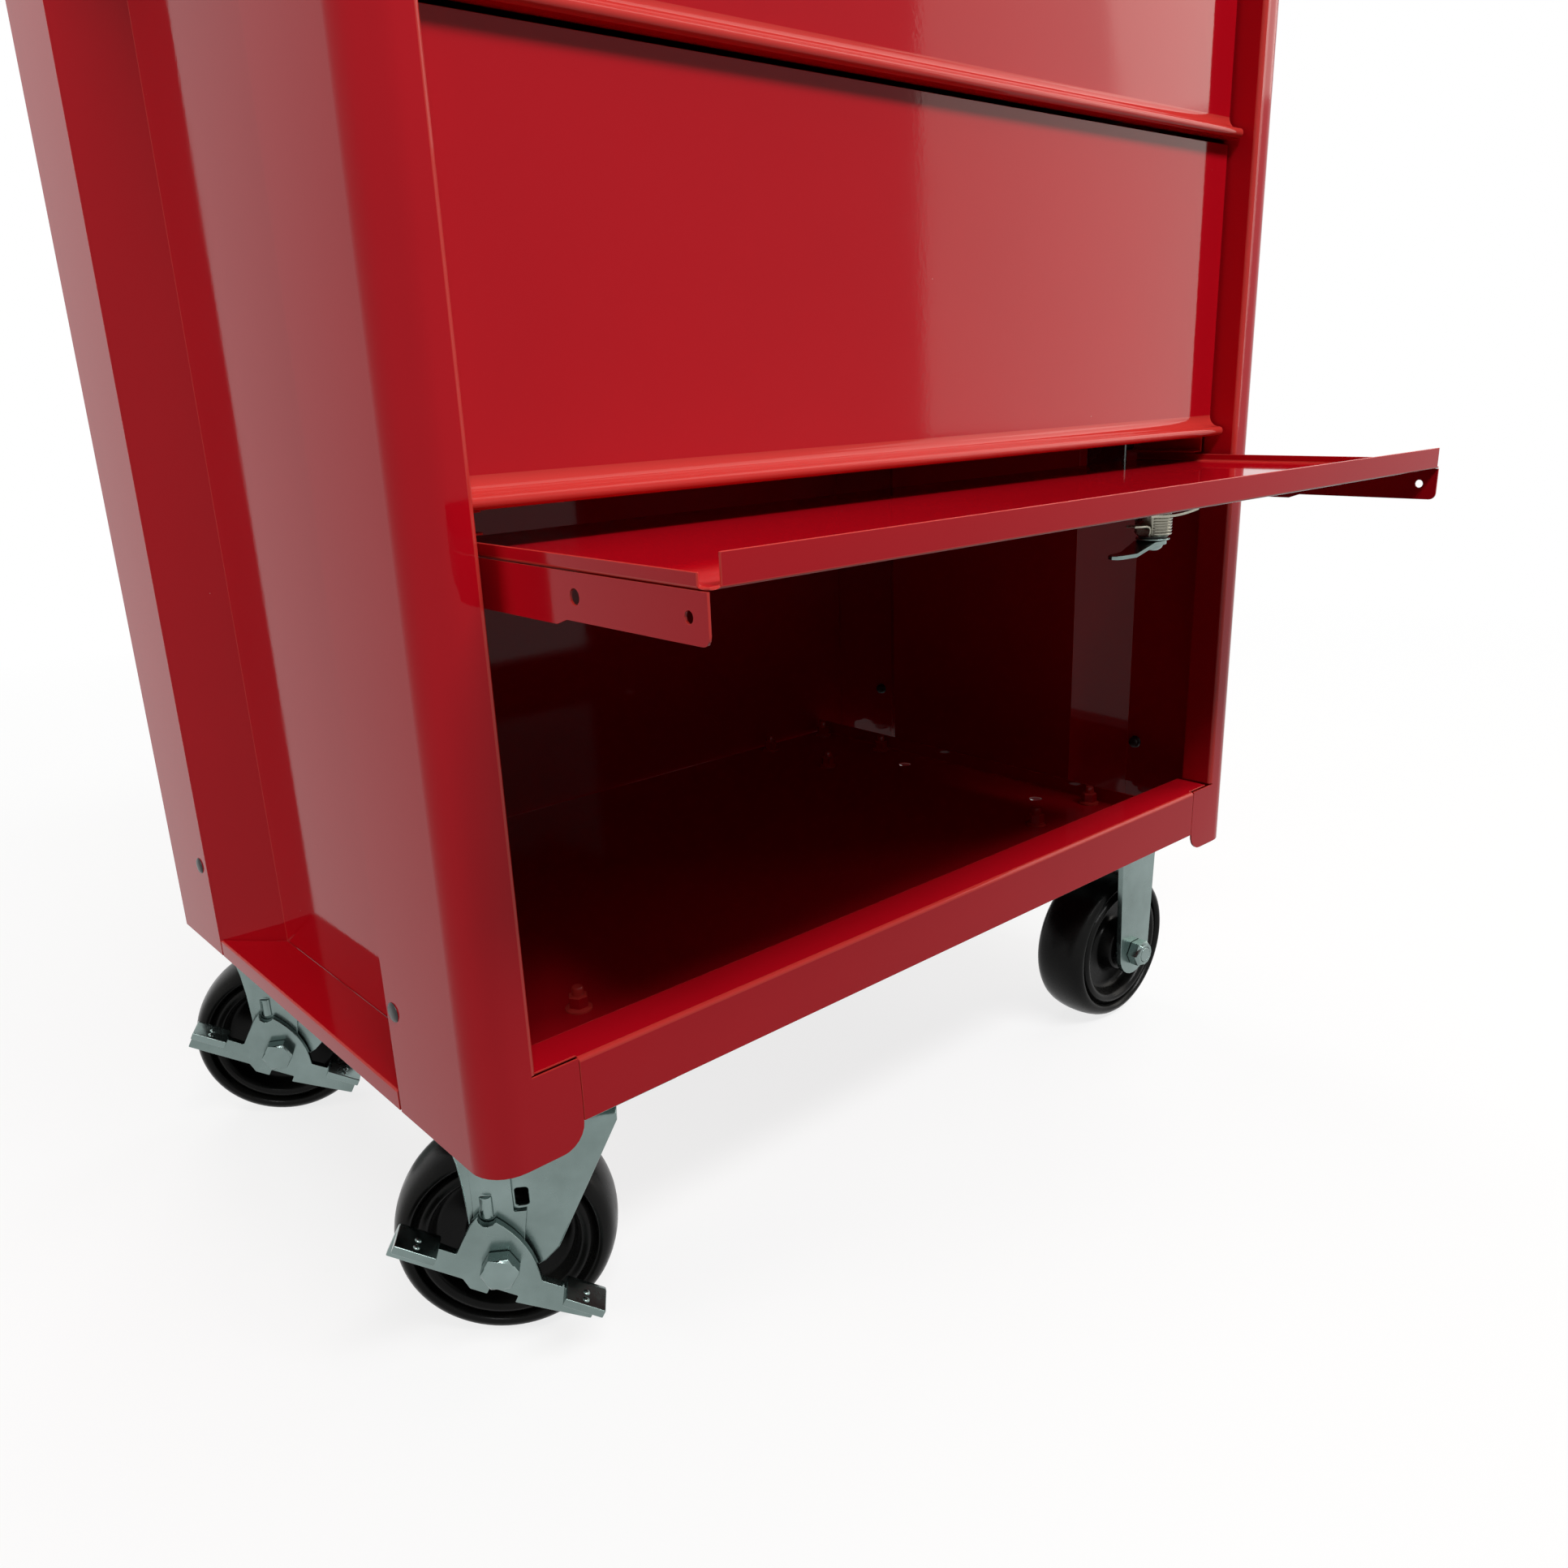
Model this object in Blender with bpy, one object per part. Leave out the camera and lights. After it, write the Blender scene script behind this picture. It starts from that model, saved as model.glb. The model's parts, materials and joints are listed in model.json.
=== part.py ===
"""Rolling tool cabinet: folded sheet-steel body, two drawers, a flip-up door and four casters.

Metres, +Z up. The front faces -Y. The origin is on the floor, under the middle of the cabinet's footprint.
"""

import math

import bmesh
import bpy
from mathutils import Matrix, Vector

# Cabinet body
WIDTH = 0.686
DEPTH = 0.457
HEIGHT = 0.838
SHEET = 0.0012
GAP = 0.0004

# Corner posts, each folded from the side sheet
POST_FACE = 0.031
POST_RETURN = 0.025
POST_CORNER_RADIUS = 0.020
POST_EDGE_RADIUS = 0.003
POST_DROP = 0.014
FRONT_POST_SIDE = 0.098
REAR_POST_SIDE = 0.078
REAR_RETURN = 0.022
RECESS_DEPTH = 0.034
RECESS_RUN = 0.036
EAR_REACH = 0.024
EAR_RADIUS = 0.014

# Bottom rail, floor, ledges and top tray
RAIL_HEIGHT = 0.036
RAIL_FLANGE = 0.030
RAIL_EDGE_RADIUS = 0.0025
FLOOR_FLANGE = 0.014
FLOOR_HOLE_RADIUS = 0.0058
FLOOR_HOLE_INSET = 0.0308
FLOOR_HOLE_ROWS = (-0.083, 0.073)
LEDGE_DROP = 0.002
TRAY_SKIRT = 0.030
TRAY_RIM = 0.014
TRAY_SINK = 0.010
TRAY_EDGE_RADIUS = 0.004

# Drawers
COMPARTMENT_HEIGHT = 0.272
DEEP_FRONT_HEIGHT = 0.196
FRONT_RECESS = 0.020
FRONT_SIDE_GAP = 0.003
FRONT_STACK_GAP = 0.003
FRONT_FLANGE = 0.014
BEAD_COVE_RADIUS = 0.008
BEAD_NOSE_RADIUS = 0.0032
BOX_WALL = 0.0012
BOX_LIFT = 0.022
BOX_TOP_DROP = 0.014
BOX_REAR_ROOM = 0.030
SLIDE_WIDTH = 0.0127
SLIDE_HEIGHT = 0.035
SLIDE_WALL = 0.0015
SLIDE_RUNNING = 0.0005

# Flip-up door with its tracks and trolleys
DOOR_SIDE_GAP = 0.005
DOOR_TOP_ROOM = 0.0185
DOOR_LIP = 0.005
DOOR_PULL = 0.012
DOOR_BOTTOM_GAP = 0.0025
DOOR_REST_REACH = 0.150
DOOR_CORNER_NOTCH = 0.005
DOOR_REAR_ROOM = 0.0026
HINGE_DROP = 0.0115
HINGE_PIN_RADIUS = 0.003
HINGE_PIN_CLEARANCE = 0.0003
TRACK_LIFT = 0.0015
TRACK_HEIGHT = 0.0112
TRACK_WIDTH = 0.0105
TRACK_FRONT_ROOM = 0.024
TRACK_REAR_ROOM = 0.032
TROLLEY_FRONT = 0.008
TROLLEY_REAR = 0.028
TROLLEY_PLATE = 0.0025
BRACKET_DEPTH = 0.020
BRACKET_STEP = 0.0026
BRACKET_STEP_RUN = 0.0078
BRACKET_STEP_AT = 0.094
BRACKET_TAIL = 0.008
BRACKET_HOLE_RADIUS = 0.0035
BRACKET_HOLE_AT = 0.087
BRACKET_SMALL_HOLE_RADIUS = 0.0026
BRACKET_SMALL_HOLE_AT = 0.0125
BRACKET_CORNER_RADIUS = 0.004

# Cam lock in the middle of the door
LOCK_SETBACK = 0.019
LOCK_HEAD_RADIUS = 0.0115
LOCK_HEAD_HEIGHT = 0.0025
LOCK_BARREL_RADIUS = 0.0092
LOCK_BARREL_LENGTH = 0.0165
LOCK_PLUG_RADIUS = 0.0062
LOCK_CLEARANCE = 0.0003
LOCK_CLIP_REACH = 0.022
LOCK_CLIP_HALF = 0.0125
LOCK_CLIP_GAUGE = 0.0012
CAM_LENGTH = 0.036
CAM_WIDTH = 0.014
CAM_TIP_WIDTH = 0.008
CAM_THICKNESS = 0.002
CAM_STEP = 0.0042
CAM_STEP_FRONT = 0.007
CAM_STEP_REAR = 0.021
CAM_STUD_RADIUS = 0.0042

# Casters
WHEEL_RADIUS = 0.0635
WHEEL_WIDTH = 0.050
WHEEL_EDGE_RADIUS = 0.006
WHEEL_RIM_DEPTH = 0.019
WHEEL_RECESS = 0.011
WHEEL_HUB_RADIUS = 0.020
WHEEL_RIBS = 8
WHEEL_RIB_WIDTH = 0.005
WHEEL_RIB_SLOPE = 0.001
AXLE_DROP = 0.1016
AXLE_RADIUS = 0.0063
SLEEVE_WALL = 0.0025
RUNNING_CLEARANCE = 0.0003
FORK_GAUGE = 0.0045
FORK_SIDE_ROOM = 0.004
FORK_BEND_RADIUS = 0.007
FORK_FOOT_RADIUS = 0.016
PLATE_LENGTH = 0.112
PLATE_WIDTH = 0.091
PLATE_GAUGE = 0.004
PLATE_CORNER_RADIUS = 0.010
BOLT_SPACING_LONG = 0.084
BOLT_SPACING_WIDE = 0.074
BOLT_HOLE_RADIUS = 0.0045
PLATE_SIDE_ROOM = 0.0018
PLATE_END_ROOM = 0.006
SWIVEL_LEAD = 0.0415
FRONT_SWIVEL_TURN = 144.5
REAR_SWIVEL_TURN = 150.5
SWIVEL_RACE_RADIUS = 0.034
SWIVEL_RACE_HEIGHT = 0.0105
KINGPIN_RADIUS = 0.008
FORK_TOP_FRONT = 0.028
FORK_TOP_REAR = 0.066
FORK_COVE = 0.012
FORK_TOE = 0.032
FORK_TOE_LIFT = 0.002
FORK_TOE_CHAMFER = 0.008
RIGID_TOP_HALF = 0.034
RIGID_WAIST_HALF = 0.0225
RIGID_FOOT_RADIUS = 0.0195
HEX_FLATS = 0.019
HEX_HEAD_HEIGHT = 0.009
HEX_HEAD_CHAMFER = 0.0013
HEX_CROWN = 0.8
NUT_HEIGHT = 0.010
NUT_COLLAR = 0.003

# Side brake on the swivel casters
LEVER_GAUGE = 0.005
LEVER_ARM_HALF = 0.007
LEVER_ARM_DROP = 0.009
LEVER_ARM_REACH = 0.060
LEVER_TILT = -27.5
HUMP_HALF = 0.025
HUMP_TOP = 0.0245
HUMP_SHOULDER = 0.018
HUMP_FLANK = 0.011
DETENT_AT = 0.018
DETENT_RADIUS = 0.005
BELLY_DROP = 0.0205
BELLY_REACH = 0.010
BELLY_HALF = 0.016
LEVER_NOTCH = 0.0165
PEDAL_LENGTH = 0.0235
PEDAL_WIDTH = 0.020
PEDAL_BEND_RADIUS = 0.004
SPRING_GAUGE = 0.002
SPRING_REAR = 0.0125
SPRING_FRONT = 0.0095
SPRING_HOOK = 0.0165
SPRING_TAIL = 0.012
RIDGE_WIDTH = 0.007
RIDGE_HEIGHT = 0.003
RIDGE_LENGTH = 0.013
RIDGE_REST = 0.0285
RIDGE_AT = 0.0047
SLOT_FRONT = 0.0177
SLOT_WIDTH = 0.007
SLOT_LOW = 0.0316
SLOT_HEIGHT = 0.0108

# Places worked out from the driving dimensions
FRONT = -DEPTH / 2
BACK = DEPTH / 2
LEFT = -WIDTH / 2
BASE = WHEEL_RADIUS + AXLE_DROP
RAIL_TOP = BASE + RAIL_HEIGHT
SIDE_TOP = HEIGHT - TRAY_SKIRT - GAP
POST_BOTTOM = BASE - POST_DROP
WALL_INSIDE = WIDTH / 2 - RECESS_DEPTH - SHEET
DRAWER_FACE_Y = FRONT + FRONT_RECESS
DRAWER_HALF = WIDTH / 2 - POST_FACE - FRONT_SIDE_GAP
BOX_HALF = WALL_INSIDE - SLIDE_WIDTH
DEEP_BOTTOM = RAIL_TOP + COMPARTMENT_HEIGHT
DEEP_TOP = DEEP_BOTTOM + DEEP_FRONT_HEIGHT
UPPER_BOTTOM = DEEP_TOP + FRONT_STACK_GAP
UPPER_TOP = SIDE_TOP - FRONT_STACK_GAP
DOOR_HALF = WIDTH / 2 - POST_FACE - DOOR_SIDE_GAP
DOOR_Z = DEEP_BOTTOM - DOOR_TOP_ROOM
HINGE_Z = DOOR_Z - HINGE_DROP
DOOR_REACH = HINGE_Z - RAIL_TOP - DOOR_BOTTOM_GAP
DOOR_FRONT = FRONT - DOOR_REST_REACH
HINGE_Y = DOOR_FRONT + DOOR_REACH
FORK_HALF = WHEEL_WIDTH / 2 + FORK_SIDE_ROOM + FORK_GAUGE


def arc(center, radius, start, end, steps):
    """Points along an arc, with angles in degrees."""
    points = []
    for i in range(steps + 1):
        angle = math.radians(start + (end - start) * i / steps)
        points.append((center[0] + radius * math.cos(angle), center[1] + radius * math.sin(angle)))
    return points


def circle(center, radius, steps):
    return arc(center, radius, 0.0, 360.0, steps)[:-1]


def sweep(start, control, end, steps):
    """Points along a curve that leaves start towards control and reaches end from it."""
    points = []
    for i in range(steps + 1):
        t = i / steps
        weights = ((1 - t) ** 2, 2 * t * (1 - t), t ** 2)
        points.append(tuple(sum(w * p[k] for w, p in zip(weights, (start, control, end))) for k in (0, 1)))
    return points


def add_grid(bm, profile, stations, place, skip=()):
    """Faces from a profile swept along stations; a face looks along stations x profile."""
    rows = [[bm.verts.new(place(point, station)) for station in stations] for point in profile]
    for i in range(len(profile) - 1):
        for j in range(len(stations) - 1):
            if (i, j) not in skip:
                bm.faces.new((rows[i][j], rows[i][j + 1], rows[i + 1][j + 1], rows[i + 1][j]))


def add_patch(bm, loops, place, normal):
    """One flat face region: the first loop is its outline, the others are holes."""
    edges = []
    for loop in loops:
        verts = [bm.verts.new(place(point)) for point in loop]
        edges += [bm.edges.new((verts[i - 1], verts[i])) for i in range(len(verts))]
    made = bmesh.ops.triangle_fill(bm, edges=edges, use_beauty=True)
    for face in made["geom"]:
        if isinstance(face, bmesh.types.BMFace):
            face.normal_update()
            if face.normal.dot(Vector(normal)) < 0:
                face.normal_flip()


def weld(bm):
    """Joins folds that share an edge and drops points that no face uses."""
    bmesh.ops.remove_doubles(bm, verts=bm.verts, dist=1e-6)
    loose = [vert for vert in bm.verts if not vert.link_faces]
    bmesh.ops.delete(bm, geom=loose, context="VERTS")
    return bm


def mirrored(bm):
    """The opposite-hand piece."""
    bmesh.ops.scale(bm, vec=(-1, 1, 1), verts=bm.verts)
    bmesh.ops.reverse_faces(bm, faces=bm.faces)
    return bm


def plate(loops, place, normal, thickness):
    """A flat plate with holes; place puts the outline on the face that looks along normal."""
    bm = bmesh.new()
    add_patch(bm, loops, place, normal)
    region = bmesh.ops.extrude_face_region(bm, geom=bm.faces[:])
    moved = [item for item in region["geom"] if isinstance(item, bmesh.types.BMVert)]
    bmesh.ops.translate(bm, vec=Vector(normal) * -thickness, verts=moved)
    bmesh.ops.recalc_face_normals(bm, faces=bm.faces)
    return bm


def prism(outline, place, start, end):
    """A solid bar: an outline swept straight from start to end."""
    bm = bmesh.new()
    low = [bm.verts.new(place(point, start)) for point in outline]
    high = [bm.verts.new(place(point, end)) for point in outline]
    bm.faces.new(low)
    bm.faces.new(high)
    for i in range(len(outline)):
        bm.faces.new((low[i - 1], low[i], high[i], high[i - 1]))
    bmesh.ops.recalc_face_normals(bm, faces=bm.faces)
    return bm


def block(low, high):
    corners = [(low[0], low[1]), (high[0], low[1]), (high[0], high[1]), (low[0], high[1])]
    return prism(corners, lambda p, z: (p[0], p[1], z), low[2], high[2])


def turned(rings, axis, steps=16, hollow=False, flats=()):
    """A turned piece: rings of (distance along the axis, radius); rings listed in flats are hexagons."""
    bm = bmesh.new()
    turn = {"X": Matrix.Rotation(math.pi / 2, 3, "Y"), "Y": Matrix.Rotation(-math.pi / 2, 3, "X"),
            "Z": Matrix.Identity(3)}[axis]
    loops = []
    for number, (along, radius) in enumerate(rings):
        loop = []
        for i in range(steps):
            angle = 2 * math.pi * i / steps
            reach = radius
            if number in flats:
                sector = (angle + math.pi / 6) % (math.pi / 3) - math.pi / 6
                reach = radius * math.cos(math.pi / 6) / math.cos(math.pi / 6 - abs(sector))
            point = Vector((reach * math.cos(angle), reach * math.sin(angle), along))
            loop.append(bm.verts.new(turn @ point))
        loops.append(loop)
    pairs = list(zip(loops, loops[1:]))
    if hollow:
        pairs.append((loops[-1], loops[0]))
    else:
        bm.faces.new(loops[0])
        bm.faces.new(loops[-1])
    for lower, upper in pairs:
        for i in range(steps):
            bm.faces.new((lower[i - 1], lower[i], upper[i], upper[i - 1]))
    bmesh.ops.recalc_face_normals(bm, faces=bm.faces)
    return bm


def moved(bm, offset):
    bmesh.ops.translate(bm, vec=offset, verts=bm.verts)
    return bm


def united(first, second):
    """Two overlapping solids made into one by a Boolean union."""
    pieces = []
    for bm in (first, second):
        mesh = bpy.data.meshes.new("union_piece")
        bm.to_mesh(mesh)
        bm.free()
        piece = bpy.data.objects.new("union_piece", mesh)
        bpy.context.scene.collection.objects.link(piece)
        pieces.append(piece)
    union = pieces[0].modifiers.new("union", "BOOLEAN")
    union.operation = "UNION"
    union.solver = "EXACT"
    union.object = pieces[1]
    graph = bpy.context.evaluated_depsgraph_get()
    joined = bpy.data.meshes.new_from_object(pieces[0].evaluated_get(graph))
    bm = bmesh.new()
    bm.from_mesh(joined)
    for piece in pieces:
        mesh = piece.data
        bpy.data.objects.remove(piece)
        bpy.data.meshes.remove(mesh)
    bpy.data.meshes.remove(joined)
    return bm


def finish(name, color, roughness, metallic):
    """A paint or metal finish."""
    material = bpy.data.materials.new(name)
    material.use_nodes = True
    shader = material.node_tree.nodes["Principled BSDF"]
    shader.inputs["Base Color"].default_value = (*color, 1.0)
    shader.inputs["Roughness"].default_value = roughness
    shader.inputs["Metallic"].default_value = metallic
    material.diffuse_color = (*color, 1.0)
    return material


def empty(name, location, parent=None, turn=0.0):
    """A guide point; the pieces parented to it move about it."""
    guide = bpy.data.objects.new(name, None)
    guide.parent = parent
    guide.location = location
    guide.rotation_euler = (0.0, 0.0, math.radians(turn))
    bpy.context.scene.collection.objects.link(guide)
    return guide


def add_piece(name, bm, material, parent, folded=0.0, smooth=None):
    """One named solid; folded gives a sheet its thickness, inwards from its drawn face."""
    mesh = bpy.data.meshes.new(name)
    bm.to_mesh(mesh)
    bm.free()
    mesh.materials.append(material)
    if smooth:
        mesh.shade_smooth()
        mesh.set_sharp_from_angle(angle=math.radians(smooth))
    piece = bpy.data.objects.new(name, mesh)
    piece.parent = parent
    bpy.context.scene.collection.objects.link(piece)
    if folded:
        thickness = piece.modifiers.new("thickness", "SOLIDIFY")
        thickness.thickness = folded
        thickness.offset = -1.0
        thickness.use_even_offset = True
        thickness.use_quality_normals = True
    return piece


def rounded_rectangle(half_x, low_y, high_y, front_radius, rear_radius, steps):
    """Corner points run from the rear left, round the front, to the rear right."""
    points = arc((-half_x + rear_radius, high_y - rear_radius), rear_radius, 90, 180, steps)
    points += arc((-half_x + front_radius, low_y + front_radius), front_radius, 180, 270, steps)
    points += arc((half_x - front_radius, low_y + front_radius), front_radius, 270, 360, steps)
    points += arc((half_x - rear_radius, high_y - rear_radius), rear_radius, 0, 90, steps)
    return points


def side_panel():
    """Left side: front post with its return and ear, slanted recess and rear post, folded from one sheet."""
    bm = bmesh.new()
    face_end = LEFT + POST_FACE - POST_EDGE_RADIUS
    corner = (LEFT + POST_CORNER_RADIUS, FRONT + POST_CORNER_RADIUS)
    plan = [(face_end, FRONT)]
    plan += arc(corner, POST_CORNER_RADIUS, 270, 180, 8)
    plan += [
        (LEFT, FRONT + FRONT_POST_SIDE),
        (LEFT + RECESS_DEPTH, FRONT + FRONT_POST_SIDE + RECESS_RUN),
        (LEFT + RECESS_DEPTH, BACK - REAR_POST_SIDE - RECESS_RUN),
        (LEFT, BACK - REAR_POST_SIDE),
        (LEFT, BACK),
        (LEFT + REAR_RETURN, BACK),
    ]
    return_bottom = RAIL_TOP + SHEET
    upright = lambda point, z: (point[0], point[1], z)
    add_grid(bm, plan, [POST_BOTTOM, RAIL_TOP, return_bottom, SIDE_TOP], upright)
    edge = (face_end, FRONT + POST_EDGE_RADIUS)
    inner = [(LEFT + POST_FACE, FRONT + POST_RETURN)]
    inner += arc(edge, POST_EDGE_RADIUS, 0, -90, 4)
    add_grid(bm, inner, [return_bottom, SIDE_TOP], upright)
    ear_end = LEFT + POST_FACE + EAR_REACH
    ear = arc((ear_end - EAR_RADIUS, POST_BOTTOM + EAR_RADIUS), EAR_RADIUS, 0, -90, 6)
    ear.append((face_end, POST_BOTTOM))
    add_grid(bm, ear, [0.0, 1.0], lambda p, s: (p[0], FRONT, p[1] + s * (RAIL_TOP - p[1])))
    return weld(bm)


def back_panel():
    half = WIDTH / 2 - SHEET - GAP
    rear = BACK - SHEET - GAP
    return block((-half, rear - SHEET, BASE), (half, rear, SIDE_TOP))


def floor_pan():
    """Floor with turned-up sides, seen from below as drawn."""
    bm = bmesh.new()
    half = WALL_INSIDE - GAP
    profile = [(-half, BASE + FLOOR_FLANGE), (-half, BASE), (half, BASE), (half, BASE + FLOOR_FLANGE)]
    behind_rail = FRONT + RAIL_FLANGE + GAP
    stations = [FRONT + SHEET + GAP, behind_rail, BACK - 2 * (SHEET + GAP) - SHEET]
    add_grid(bm, profile, stations, lambda p, y: (p[0], y, p[1]), skip={(0, 0), (2, 0), (1, 0), (1, 1)})
    outline = [(-half, y) for y in stations] + [(half, y) for y in reversed(stations)]
    hole_x = WALL_INSIDE - FLOOR_HOLE_INSET
    holes = [circle((x, y), FLOOR_HOLE_RADIUS, 8) for y in FLOOR_HOLE_ROWS for x in (-hole_x, hole_x)]
    add_patch(bm, [outline, *holes], lambda p: (p[0], p[1], BASE), (0, 0, -1))
    return weld(bm)


def front_rail():
    """Bottom rail: front face between the ears, top flange between the posts, and a turned-down rear lip."""
    bm = bmesh.new()
    flange_rear = FRONT + RAIL_FLANGE
    step_back = FRONT + SHEET + GAP + RAIL_EDGE_RADIUS
    bend = (FRONT + RAIL_EDGE_RADIUS, RAIL_TOP - RAIL_EDGE_RADIUS)
    profile = [(FRONT, BASE)]
    profile += arc(bend, RAIL_EDGE_RADIUS, 180, 90, 4)
    profile += [(step_back, RAIL_TOP), (flange_rear, RAIL_TOP), (flange_rear, BASE + SHEET + GAP)]
    between_posts = WIDTH / 2 - POST_FACE - GAP
    between_ears = between_posts - EAR_REACH
    stations = [-between_posts, -between_ears, between_ears, between_posts]
    front_rows = profile.index((step_back, RAIL_TOP))
    skip = {(i, j) for i in range(front_rows) for j in (0, 2)}
    add_grid(bm, profile, stations, lambda p, x: (x, p[0], p[1]), skip)
    return weld(bm)


def side_ledge():
    """Left ledge at the foot of the recess, with a lip in line with the posts."""
    bm = bmesh.new()
    top = BASE - LEDGE_DROP
    outline = [(LEFT, POST_BOTTOM), (LEFT, top), (LEFT + RECESS_DEPTH - GAP, top)]
    clear = SHEET * RECESS_RUN / RECESS_DEPTH + 2 * GAP

    def place(point, end):
        slant = RECESS_RUN * (point[0] - LEFT) / RECESS_DEPTH
        front = FRONT + FRONT_POST_SIDE + slant + clear
        rear = BACK - REAR_POST_SIDE - slant - clear
        return (point[0], rear if end else front, point[1])

    add_grid(bm, outline, [1, 0], place)
    return weld(bm)


def top_tray():
    """Top cover: a skirt in line with the posts, a rounded rim and a sunk tray."""
    bm = bmesh.new()
    rim = arc((TRAY_EDGE_RADIUS, HEIGHT - TRAY_EDGE_RADIUS), TRAY_EDGE_RADIUS, 180, 90, 4)
    profile = [(0.0, HEIGHT - TRAY_SKIRT)] + rim
    profile += [(TRAY_RIM, HEIGHT), (TRAY_RIM, HEIGHT - TRAY_SINK)]
    small = TRAY_RIM + TRAY_EDGE_RADIUS
    rings = []
    for inset, z in profile:
        plan = rounded_rectangle(WIDTH / 2 - inset, FRONT + inset, BACK - inset,
                                 max(POST_CORNER_RADIUS, small) - inset, small - inset, 5)
        rings.append([bm.verts.new((x, y, z)) for x, y in plan])
    for lower, upper in zip(rings, rings[1:]):
        for i in range(len(lower)):
            bm.faces.new((lower[i - 1], lower[i], upper[i], upper[i - 1]))
    bm.faces.new(rings[-1])
    bmesh.ops.recalc_face_normals(bm, faces=bm.faces)
    if bm.faces[0].normal.dot(bm.faces[0].calc_center_median() - Vector((0, 0, HEIGHT))) < 0:
        bmesh.ops.reverse_faces(bm, faces=bm.faces)
    return bm


def drawer_front(bottom, top):
    """Drawer front: flat face with turned-back top and sides, and a rolled pull along the bottom."""
    bm = bmesh.new()
    nose_lift = 2 * BEAD_NOSE_RADIUS
    cove_start = bottom + nose_lift + BEAD_COVE_RADIUS
    cove = (DRAWER_FACE_Y - BEAD_COVE_RADIUS, cove_start)
    nose = (DRAWER_FACE_Y - BEAD_COVE_RADIUS, bottom + BEAD_NOSE_RADIUS)
    profile = [(DRAWER_FACE_Y + SHEET, bottom)]
    profile += arc(nose, BEAD_NOSE_RADIUS, 270, 90, 8)
    profile += arc(cove, BEAD_COVE_RADIUS, -90, 0, 6)[1:]
    profile += [(DRAWER_FACE_Y, top), (DRAWER_FACE_Y + FRONT_FLANGE, top)]
    add_grid(bm, profile, [-DRAWER_HALF, DRAWER_HALF], lambda p, x: (x, p[0], p[1]))
    depth = [DRAWER_FACE_Y, DRAWER_FACE_Y + FRONT_FLANGE]
    add_grid(bm, depth, [cove_start, top], lambda y, z: (-DRAWER_HALF, y, z))
    add_grid(bm, depth, [top, cove_start], lambda y, z: (DRAWER_HALF, y, z))
    return weld(bm)


def drawer_box(bottom, top):
    """Drawer box, open at the top."""
    bm = bmesh.new()
    low = Vector((-BOX_HALF, DRAWER_FACE_Y + SHEET + GAP, bottom + BOX_LIFT))
    high = Vector((BOX_HALF, BACK - BOX_REAR_ROOM, top - BOX_TOP_DROP))

    def corners(inset, z):
        box = [(low.x + inset, low.y + inset), (high.x - inset, low.y + inset),
               (high.x - inset, high.y - inset), (low.x + inset, high.y - inset)]
        return [bm.verts.new((x, y, z)) for x, y in box]

    floor = low.z + BOX_WALL
    rings = [corners(0.0, low.z), corners(0.0, high.z), corners(BOX_WALL, high.z), corners(BOX_WALL, floor)]
    bm.faces.new(rings[0])
    bm.faces.new(rings[-1])
    for lower, upper in zip(rings, rings[1:]):
        for i in range(4):
            bm.faces.new((lower[i - 1], lower[i], upper[i], upper[i - 1]))
    bmesh.ops.recalc_face_normals(bm, faces=bm.faces)
    return bm


def slide_middle(bottom, top):
    return (bottom + BOX_LIFT + top - BOX_TOP_DROP) / 2


def slide_ends():
    return DRAWER_FACE_Y + FRONT_FLANGE + FRONT_STACK_GAP, BACK - BOX_REAR_ROOM


def channel(closed_x, open_x, low_z, high_z, wall, ends):
    """A C-channel along Y whose web is at closed_x."""
    inside = closed_x + math.copysign(wall, open_x - closed_x)
    outline = [
        (closed_x, low_z), (open_x, low_z), (open_x, low_z + wall), (inside, low_z + wall),
        (inside, high_z - wall), (open_x, high_z - wall), (open_x, high_z), (closed_x, high_z),
    ]
    return prism(outline, lambda p, y: (p[0], y, p[1]), *ends)


def cabinet_slide(bottom, top):
    """Left slide member on the cabinet wall."""
    middle = slide_middle(bottom, top)
    web = -(WALL_INSIDE - GAP)
    lip = web + SLIDE_WIDTH - 2 * SLIDE_WALL - GAP
    return channel(web, lip, middle - SLIDE_HEIGHT / 2, middle + SLIDE_HEIGHT / 2, SLIDE_WALL, slide_ends())


def drawer_slide(bottom, top):
    """Left slide member on the drawer box, running inside the cabinet's member."""
    middle = slide_middle(bottom, top)
    half = SLIDE_HEIGHT / 2 - SLIDE_WALL - SLIDE_RUNNING
    web = -(BOX_HALF + GAP)
    lip = -(WALL_INSIDE - GAP - SLIDE_WALL - SLIDE_RUNNING)
    return channel(web, lip, middle - half, middle + half, SLIDE_WALL, slide_ends())


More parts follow.
